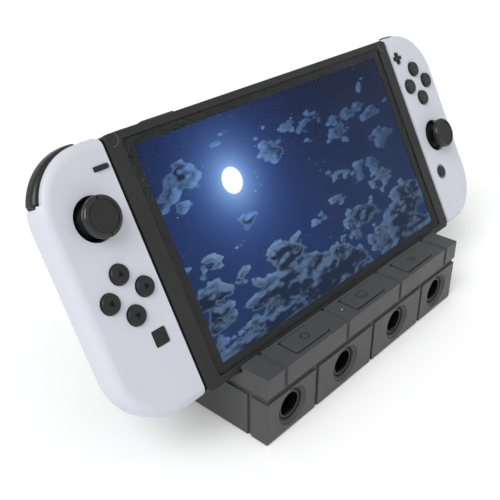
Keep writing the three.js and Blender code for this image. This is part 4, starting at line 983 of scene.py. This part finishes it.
def console_rear_shell():
    box = Span("console_rear_shell")
    stand = Span("kickstand")
    body = soft_prism("console_shell", console_outline(box), box.n0, box.n1, low=CONSOLE_BACK_EDGE, steps=8)
    floor = stand.n1 + 0.3
    inner = box.u1 - RAIL_DEPTH - CONSOLE_WALL - 0.3
    ceiling = box.v1 - CONSOLE_END_WALL
    recess = rounded(stand.u0 - 0.3, stand.u1 + 0.3, stand.v0 - 1, stand.v1 + 0.5, 0.8, 3)
    cutters = [
        block("shallow", (-inner, inner), (CONSOLE_END_WALL, ceiling), (floor + 1.6, box.n1 + 1)),
        block("deep", (-inner, inner), (stand.v1 + 3.2, ceiling), (box.n0 + CONSOLE_WALL, box.n1)),
        prism("stand_recess", recess, box.n0 - 1, floor),
        block("finger_scoop", (-9, 9), (stand.v0 - 4, stand.v0), (box.n0 - 1, box.n0 + 1.2)),
        *rail_spaces(box),
    ]
    plug = Span("docking_plug")
    plug_n = (plug.n - 1.7, plug.n + 1.7)
    cutters.append(block("plug_opening", (-4.7, 4.7), (-1, CONSOLE_END_WALL + 1), plug_n))
    for node in ("volume_rocker", "power_button"):
        part = Span(node)
        u0, u1 = part.u0 + CONTROL_GROW - 0.3, part.u1 - CONTROL_GROW + 0.3
        shape = rounded(u0, u1, -part.n1 + 0.1, -part.n0 - 0.1, 1.3, 4)
        hole = prism("control_hole", shape, -box.v1 - 1, -box.v1 + 4)
        hole.data.transform(Matrix.Rotation(math.pi / 2, 4, "X") @ Matrix.Diagonal((1, 1, -1, 1)))
        hole.data.flip_normals()
        cutters.append(hole)
    cover = Span("card_slot_cover")
    seat_v, seat_n = (cover.v0 - 0.3, box.v1 + 1), (cover.n0 - 0.3, cover.n1 + 0.3)
    cutters.append(block("card_seat", (cover.u0 - 0.3, cover.u1 + 0.3), seat_v, seat_n))
    slot_n = (cover.n0 + 1.7, cover.n1 - 0.6)
    cutters.append(block("card_slot", (cover.u0 + 1, cover.u1 - 1), (box.v1 - 4, box.v1), slot_n))
    middle = Span("power_button").n
    for i in range(VENTS):
        x = (i - VENTS // 2) * VENT_PITCH
        vent = prism("vent", rounded(x - 2, x + 2, middle - 1.6, middle + 1.6, 0.9, 3), 0, 6)
        stood = Matrix(((1, 0, 0, 0), (0, 0, -1, 0), (0, 1, 0, 0), (0, 0, 0, 1)))
        vent.data.transform(Matrix.Translation((0, box.v1 + 1, 0)) @ stood)
        cutters.append(vent)
    # Speaker and intake slits low and high on the back, and the four case screws.
    for side in (-1, 1):
        x = side * SPEAKER_X
        for i in range(SPEAKER_SLITS):
            y = SPEAKER_LOW + i * SLIT_PITCH
            slit = rounded(x - 9, x + 9, y - 0.45, y + 0.45, 0.44, 3)
            cutters.append(prism("slit", slit, box.n0 - 1, box.n0 + 0.7))
    for i in range(INTAKES):
        x = INTAKE_X + (i - (INTAKES - 1) / 2) * INTAKE_PITCH
        intake = rounded(x - 0.7, x + 0.7, 64, 84, 0.65, 3)
        cutters.append(prism("intake", intake, box.n0 - 1, box.n0 + 0.8))
    combine(body, cutters)
    coated(finished(body, LEAN), "frame_plastic")
    settle(body, "console", "console_rear_shell")
    for x in (-CASE_SCREW_X, CASE_SCREW_X):
        for y in (8, box.v1 - 12):
            screw("case_screw", x, y, box.n0, "console")


SCREWS = []


def screw(name, x, y, back, body, side=1, radius=1.5):
    """A small cross-head screw, set just into a back face."""
    head = lathe(name, disc_profile(radius, -0.12, 0.28, high=0.14, steps=3), segments=32)
    long, short = (-0.9, 0.9), (-0.18, 0.18)
    slots = [block("slot", long, short, (0.05, 1)), block("slot", short, long, (0.05, 1))]
    combine(head, slots)
    head.data.transform(Matrix.Translation((x, y, back + 0.22)) @ Matrix.Rotation(math.pi, 4, "X"))
    coated(finished(head, LEAN, side), "metal")
    SCREWS.append(head)
    head.name = f"{name}_{len(SCREWS)}"
    settle(head, body)


def top_controls():
    for node in ("power_button", "volume_rocker"):
        refined(node, 0.18, 2)
    refined("card_slot_cover", 0.12, 2)


def kickstand():
    piece = refined("kickstand", KICKSTAND_EDGE, 3)
    piece.name = "kickstand_fine"


def rail_end(side):
    """The round end of the rail, let into the frame's top corner."""
    box = Span("console_front_frame")
    x, y = box.u1 - 3.05, box.v1 - 2.5
    outer = circle(2.7, 40)
    inner = circle(2.35, 40)
    ring = prism("rail_end", outer, 0, 0.05)
    combine(ring, [prism("hole", inner, -1, 1)])
    combine(ring, [block("side", (0.6, 5), (-5, 5), (-1, 1)), block("top", (-5, 5), (1.8, 5), (-1, 1))])
    ring.data.transform(Matrix.Translation((x, y, -0.02)))
    ring.name = ("left" if side < 0 else "right") + "_rail_end"
    coated(finished(ring, LEAN, side), "rail_mark")
    settle(ring, "console")


def console():
    console_front_frame()
    console_rear_shell()
    cover_glass()
    display_panel()
    top_controls()
    kickstand()
    for side in ("left", "right"):
        refined(side + "_rail", 0.15, 2)
    refined("main_board", 0.1, 1)
    refined("console_battery", 0.2, 1)
    for side in (-1, 1):
        rail_end(side)


# ---------------------------------------------------------------- controllers, drawn on the +u side


class Controller:
    def __init__(self, side):
        self.side = side
        self.sign = -1 if side == "left" else 1
        self.front = self.span("front_shell")
        self.back = self.span("rear_shell")
        self.corner = (self.front.u1 - CONTROLLER_CORNER, self.front.v1 - CONTROLLER_CORNER)
        self.split = (self.front.n0 + self.back.n1) / 2

    def span(self, part):
        return Span(f"{self.side}_{part}", side=self.sign)

    def outline(self, inset=0.0, overrun=0.0):
        shell = self.front
        small = (INNER_TOP_CORNER, INNER_BOTTOM_CORNER)
        big = CONTROLLER_CORNER - inset
        top, bottom = (max(radius - inset, 0.3) if not overrun else overrun * 0.8 for radius in small)
        u0, u1 = shell.u0 + inset - overrun, shell.u1 - inset
        return rounded(u0, u1, shell.v0 + inset, shell.v1 - inset, (big, big, top, bottom), 28)

    def place(self, piece, material, crease=32):
        return coated(finished(piece, LEAN, self.sign, crease), material)

    def sector_cut(self, radius, z0, z1, shift=(0, 0)):
        centre = (self.corner[0] + shift[0], self.corner[1] + shift[1])
        start, end = SECTOR_START - SECTOR_OPEN, SECTOR_END + SECTOR_OPEN
        outline = arc(*centre, CONTROLLER_CORNER + 8, start, end, 48) + arc(*centre, radius, end, start, 48)
        return prism("sector_cut", outline, z0, z1)

    def distances(self, part):
        """How far each vertex of a shoulder piece is from the centre of the shell's corner."""
        node = frame["nodes"][f"{self.side}_{part}"]
        for vertex in node.data.vertices:
            x = self.sign * vertex.co.x / MM - self.corner[0]
            y = (vertex.co.dot(V_AXIS) - V_ZERO) / MM - self.corner[1]
            yield math.hypot(x, y)

    def inner_radius(self, part):
        """How near a shoulder piece comes to that centre."""
        return min(CONTROLLER_CORNER, *self.distances(part))

    def front_shell(self):
        body = soft_prism(
            f"{self.side}_face_shell",
            lambda inset: self.outline(inset, OVERRUN),
            -self.front.n1 - 16,
            0,
            high=SHELL_FRONT_EDGE,
            steps=12,
        )
        trim = prism("trim", self.outline(), self.split + SHELL_SEAM, 1)
        combine(body, [trim], "INTERSECT")
        stick, buttons = self.span("stick_cap"), self.buttons()
        cutters = [
            prism("cavity", self.outline(SHELL_WALL), self.split - 1, -SHELL_WALL),
            flared_hole("stick_hole", STICK_HOLE_RADIUS, HOLE_LIP, (stick.u, stick.v), 4, FINE),
        ]
        for spot in buttons:
            radius = (spot.u1 - spot.u0) / 2 - BUTTON_FLANGE + BUTTON_GAP
            cutters.append(flared_hole("button_hole", radius, 0.22, (spot.u, spot.v), 4))
        select, corner = self.span("select_button"), self.span("corner_button")
        for spot, shape in ((select, self.select_shape), (corner, self.corner_shape)):
            grown = lambda inset: shape(inset - BUTTON_GAP)
            cutters.append(shaped_hole("small_hole", grown, HOLE_LIP, (spot.u, spot.v), 4))
        shoulder = self.span("shoulder_button")
        room = self.inner_radius("shoulder_button") - SECTOR_CLEARANCE
        cutters.append(self.sector_cut(room, self.split - 1, shoulder.n1 + 0.3))
        cutters.append(self.sector_cut(STRIP_RADIUS, self.split - 1, 1, STRIP_SHIFT))
        combine(body, cutters)
        self.place(body, "white_plastic")
        settle(body, f"{self.side}_controller", f"{self.side}_front_shell")

    def rear_shell(self):
        body = soft_prism(
            f"{self.side}_back_shell",
            lambda inset: self.outline(inset, OVERRUN),
            self.back.n0,
            6,
            low=SHELL_BACK_EDGE,
            steps=12,
        )
        trim = prism("trim", self.outline(), self.back.n0 - 1, self.split - SHELL_SEAM)
        combine(body, [trim], "INTERSECT")
        release = self.span("release_button")
        radius = (release.u1 - release.u0) / 2 - BUTTON_FLANGE + BUTTON_GAP
        hole = flared_hole("release_hole", radius, 0.3, (0, 0), 6)
        over = Matrix.Rotation(math.pi, 4, "X")
        hole.data.transform(Matrix.Translation((release.u, release.v, self.back.n0)) @ over)
        cutters = [
            prism("cavity", self.outline(SHELL_WALL + 1), self.back.n0 + SHELL_WALL, 0),
            hole,
            self.sector_cut(self.inner_radius("trigger") - SECTOR_CLEARANCE, self.back.n0 - 1, 0),
        ]
        combine(body, cutters)
        self.place(body, "white_plastic")
        settle(body, f"{self.side}_controller", f"{self.side}_rear_shell")
        for x, y in BACK_SCREWS:
            place = (self.front.u0 + x, y, self.back.n0)
            screw(f"{self.side}_screw", *place, f"{self.side}_controller", self.sign, 1.3)

    def buttons(self):
        return [self.span("button_" + where) for where in ("top", "right", "bottom", "left")]

    def select_shape(self, inset):
        if self.side == "left":
            return rounded(-2.9 + inset, 2.9 - inset, -0.7 + inset, 0.7 - inset, 0.15, 2)
        reach, half = 2.85 - inset, 0.85 - inset
        corners = []
        for turn in range(4):
            for x, y in ((reach, -half), (reach, half), (half, half)):
                for _ in range(turn):
                    x, y = -y, x
                corners.append((x, y))
        return corners

    def corner_shape(self, inset):
        if self.side == "left":
            return rounded(-2.85 + inset, 2.85 - inset, -2.85 + inset, 2.85 - inset, 0.5, 4)
        return circle(2.9 - inset, 48)

    def raised(self, part, shape, edge, flange):
        """A button standing in its hole, with the flange that keeps it in the shell."""
        box = self.span(part)
        cap = soft_prism("cap", shape, box.n0 + 0.3, box.n1, high=edge, steps=4)
        skirt = prism("flange", flange, box.n0, box.n0 + 0.9)
        for piece in (cap, skirt):
            piece.data.transform(Matrix.Translation((box.u, box.v, 0)))
        coated(cap, "black_plastic")
        coated(skirt, "black_plastic")
        return cap, skirt

    def complete(self, part, pieces, crease=32):
        name = f"{self.side}_{part}"
        whole = joined(name + "_fine", pieces)
        finished(whole, LEAN, self.sign, crease)
        settle(whole, name, name)

    def face_mark(self, where):
        """An arrow on the left controller's buttons, and one to four pips on the right one's."""
        if self.side == "left":
            turn = math.radians({"top": 90, "right": 0, "bottom": -90, "left": 180}[where])
            # Each points away from the middle of its group, and is mirrored with it. The left
            # controller's nodes named left and right lie on the right and left of that group.
            points = [(1.5 * math.cos(turn + a), 1.5 * math.sin(turn + a)) for a in (0, 2.094, 4.189)]
            return prism("arrow", filleted(points, 0.25, 3), -MARK_DEPTH, 1)
        spots = {
            "top": [(0, 0.8), (0, -0.8)],
            "right": [(-0.9, -0.6), (0.9, -0.6), (0, 0.95)],
            "bottom": [(0, 0)],
            "left": [(-0.8, -0.8), (0.8, -0.8), (-0.8, 0.8), (0.8, 0.8)],
        }[where]
        pips = [prism("pip", circle(0.45, 20, x, y), -MARK_DEPTH, 1) for x, y in spots]
        return combine(pips[0], pips[1:], "UNION") if len(pips) > 1 else pips[0]

    def face_buttons(self):
        for where in ("top", "right", "bottom", "left"):
            box = self.span("button_" + where)
            radius = (box.u1 - box.u0) / 2 - BUTTON_FLANGE
            profile = disc_profile(radius, box.n0 + 0.3, box.n1, high=0.5, steps=6)
            cap = lathe("cap", profile, (box.u, box.v))
            fill = engraved(cap, self.face_mark(where), (box.u, box.v), box.n1)
            rim = disc_profile(radius + BUTTON_FLANGE, box.n0, box.n0 + 1)
            flange = lathe("flange", rim, (box.u, box.v), 48)
            # the left controller's near-black marks are partly painted shade in the cut; the right one's pale
            # marks are print
            ink = "mark" if self.side == "left" else "pale_mark"
            parts = [coated(cap, "black_plastic"), coated(flange, "black_plastic"), coated(fill, ink)]
            self.complete("button_" + where, parts)

    def small_buttons(self):
        flange = rounded(-3.6, 3.6, -3.4, 3.4, 0.4, 3)
        pieces = self.raised("select_button", self.select_shape, 0.14, flange)
        self.complete("select_button", pieces)
        cap, flange = self.raised("corner_button", self.corner_shape, 0.25, circle(4.1, 40))
        box = self.span("corner_button")
        groove = prism("groove", circle(1.9, 40, box.u, box.v), box.n1 - 0.12, box.n1 + 1)
        if self.side == "right":
            island = prism("island", circle(1.6, 40, box.u, box.v), box.n1 - 1, box.n1 + 2)
            combine(groove, [island])
        combine(cap, [groove])
        coated(cap, "black_plastic")
        self.complete("corner_button", [cap, flange])
        if self.side == "right":
            ring = prism("ring", circle(RING_LIGHT_RADIUS, 64), -0.04, 0.06)
            combine(ring, [prism("hole", circle(RING_LIGHT_INSIDE, 64), -1, 1)])
            ring.data.transform(Matrix.Translation((box.u, box.v, 0)))
            ring.name = "right_ring_light"
            self.place(ring, "ring_light")
            settle(ring, "right_controller")

    def stick(self):
        self.stick_cap()
        self.stick_stem()

    def stick_cap(self):
        """A glossy rim, split by four notches, round a matt inlay; fine ribs run round its side."""
        cap = self.span("stick_cap")
        radius = (cap.u1 - cap.u0) / 2
        low, high = cap.n0, cap.n1
        rim, inlay, socket = 1.15, STICK_INLAY_RADIUS, 2.7
        profile = [(0, low + 2), (socket, low + 2), (socket, low), (radius - 1.2, low)]
        profile += [(radius - 0.6, low + 0.12), (radius - 0.2, low + 0.4), (radius - 0.05, low + 0.8)]
        for rib in range(3):
            z = low + 0.85 + rib * 0.3
            profile += [(radius, z), (radius, z + 0.16), (radius - 0.05, z + 0.2), (radius - 0.05, z + 0.26)]
        curve = [math.pi / 2 * i / 8 for i in range(9)]
        profile += [(radius - rim + rim * math.cos(a), high - rim + rim * math.sin(a)) for a in curve]
        profile += [
            (inlay + 0.2, high - 0.08),
            (inlay + 0.14, high - 0.45),
            (inlay - 0.08, high - 0.45),
            (inlay - 0.14, high - 0.2),
            (inlay - 0.4, high - 0.16),
            (inlay * 0.66, high - 0.3),
            (inlay * 0.33, high - 0.38),
            (0, high - 0.4),
        ]
        body = lathe("cap", profile, (cap.u, cap.v), 128)
        notches = []
        for quarter in range(4):
            notch = block("notch", (inlay + 0.05, radius + 1), (-0.25, 0.25), (high - 0.6, high + 1))
            turn = Matrix.Rotation(math.pi / 2 * quarter, 4, "Z")
            notch.data.transform(Matrix.Translation((cap.u, cap.v, 0)) @ turn)
            notches.append(notch)
        combine(body, notches)
        coated(body, "gloss_black")
        middle = Vector((cap.u, cap.v))
        retoned(body, "cap_rubber", lambda at: (at.xy - middle).length < inlay and at.z > low + 2.1)
        body.name = f"{self.side}_stick_cap_fine"
        finished(body, LEAN, self.sign)
        settle(body, f"{self.side}_stick_cap", f"{self.side}_stick_cap")

    def stick_stem(self):
        """The post under the cap and the domed skirt that fills the opening; both are near-black, as painted
        shade in the opening.
        """
        stem, hoop = self.span("stick_stem"), self.span("stick_ring")
        pivot = hoop.n
        outer, inner = SKIRT_OUTER, SKIRT_INNER
        widest, narrowest = math.radians(64), math.radians(18)

        def sweep(radius, start, end):
            turns = [start + (end - start) * i / 16 for i in range(17)]
            return [(radius * math.sin(a), pivot + radius * math.cos(a)) for a in turns]

        profile = [(0, stem.n0), (1.5, stem.n0), (1.5, pivot + inner), *sweep(inner, narrowest, widest)]
        profile += sweep(outer, widest, narrowest)
        profile += [(2.4, pivot + outer + 0.4), (2.4, stem.n1), (0, stem.n1)]
        post = lathe(f"{self.side}_stick_stem_fine", profile, (stem.u, stem.v), 72)
        # near-black: painted shade in the stick's opening
        coated(finished(post, LEAN, self.sign), "dark_plastic")
        settle(post, f"{self.side}_stick_stem", f"{self.side}_stick_stem")

    def shoulder(self):
        for part in ("shoulder_button", "trigger"):
            box = self.span(part)
            reach = max(self.distances(part))
            inner = self.inner_radius(part)
            if part == "shoulder_button":
                section = [
                    (inner, box.n0),
                    (reach - 0.15, box.n0),
                    (reach, box.n0 + 1.0),
                    (reach - 0.35, box.n1 - 1.6),
                    (reach - 1.1, box.n1 - 0.55),
                    (reach - 2.3, box.n1),
                    (inner, box.n1 - 0.1),
                ]
            else:
                back = reach - TRIGGER_TAPER
                section = [
                    (inner, box.n0 + 0.5),
                    (inner + 0.4, box.n0),
                    (back - 0.6, box.n0),
                    (back, box.n0 + 0.8),
                    (reach - 0.2, box.n1 - 1),
                    (reach - 0.3, box.n1),
                    (inner, box.n1),
                ]
            sweep = sector(part, self.corner, filleted(section, 0.5), SECTOR_START, SECTOR_END)
            self.complete(part, [coated(sweep, "black_plastic")], crease=40)

    def release_button(self):
        box = self.span("release_button")
        radius = (box.u1 - box.u0) / 2 - BUTTON_FLANGE
        cap = lathe("release", disc_profile(radius, box.n0, box.n1, low=0.35, steps=4), (box.u, box.v), 64)
        coated(cap, "black_plastic")
        self.complete("release_button", [cap])

    def build(self):
        self.front_shell()
        self.rear_shell()
        refined(self.side + "_rail_slider", 0.12, 2)
        self.face_buttons()
        self.small_buttons()
        self.stick()
        self.shoulder()
        self.release_button()


# ---------------------------------------------------------------- what stays as packed


def carried_over():
    """CAD nodes that keep their shape get the finished materials."""
    slots = {part["node"]: part["material_slot"] for part in frame["record"]["subparts"]}
    for name, node in frame["nodes"].items():
        if not node.hide_render:
            node.data.materials.clear()
            node.data.materials.append(MATERIALS[slots[name]])


# ---------------------------------------------------------------- floor and lights


def studio():
    floor = raw("floor", [(-6, -6, 0), (6, -6, 0), (6, 6, 0), (-6, 6, 0)], [[0, 1, 2, 3]])
    made = Nodes("floor")
    cloud = made.noise(made.mm, 0.004)
    made.put(made.shader.inputs["Base Color"], made.mix(cloud, (0.95, 0.95, 0.95, 1), (0.97, 0.97, 0.97, 1)))
    made.shader.inputs["Roughness"].default_value = 0.9
    made.shader.inputs["Specular IOR Level"].default_value = 0.1
    floor.data.materials.append(made.material)

    world = bpy.data.worlds.new("studio")
    world.use_nodes = True
    backdrop = world.node_tree.nodes["Background"]
    backdrop.inputs["Color"].default_value = (1.0, 1.0, 1.0, 1)
    backdrop.inputs["Strength"].default_value = 0.64
    bpy.context.scene.world = world

    for name, power, softness, source in (
        ("key", 2.1, 40, (-0.68, -0.15, 0.72)),
        ("fill", 0.15, 60, (0.3, -0.8, 0.5)),
    ):
        sun = bpy.data.objects.new(name, bpy.data.lights.new(name, "SUN"))
        bpy.context.collection.objects.link(sun)
        sun.data.energy = power
        sun.data.angle = math.radians(softness)
        sun.rotation_euler = (-Vector(source)).to_track_quat("-Z", "Y").to_euler()


dock()
console()
for side in ("left", "right"):
    Controller(side).build()
carried_over()
studio()
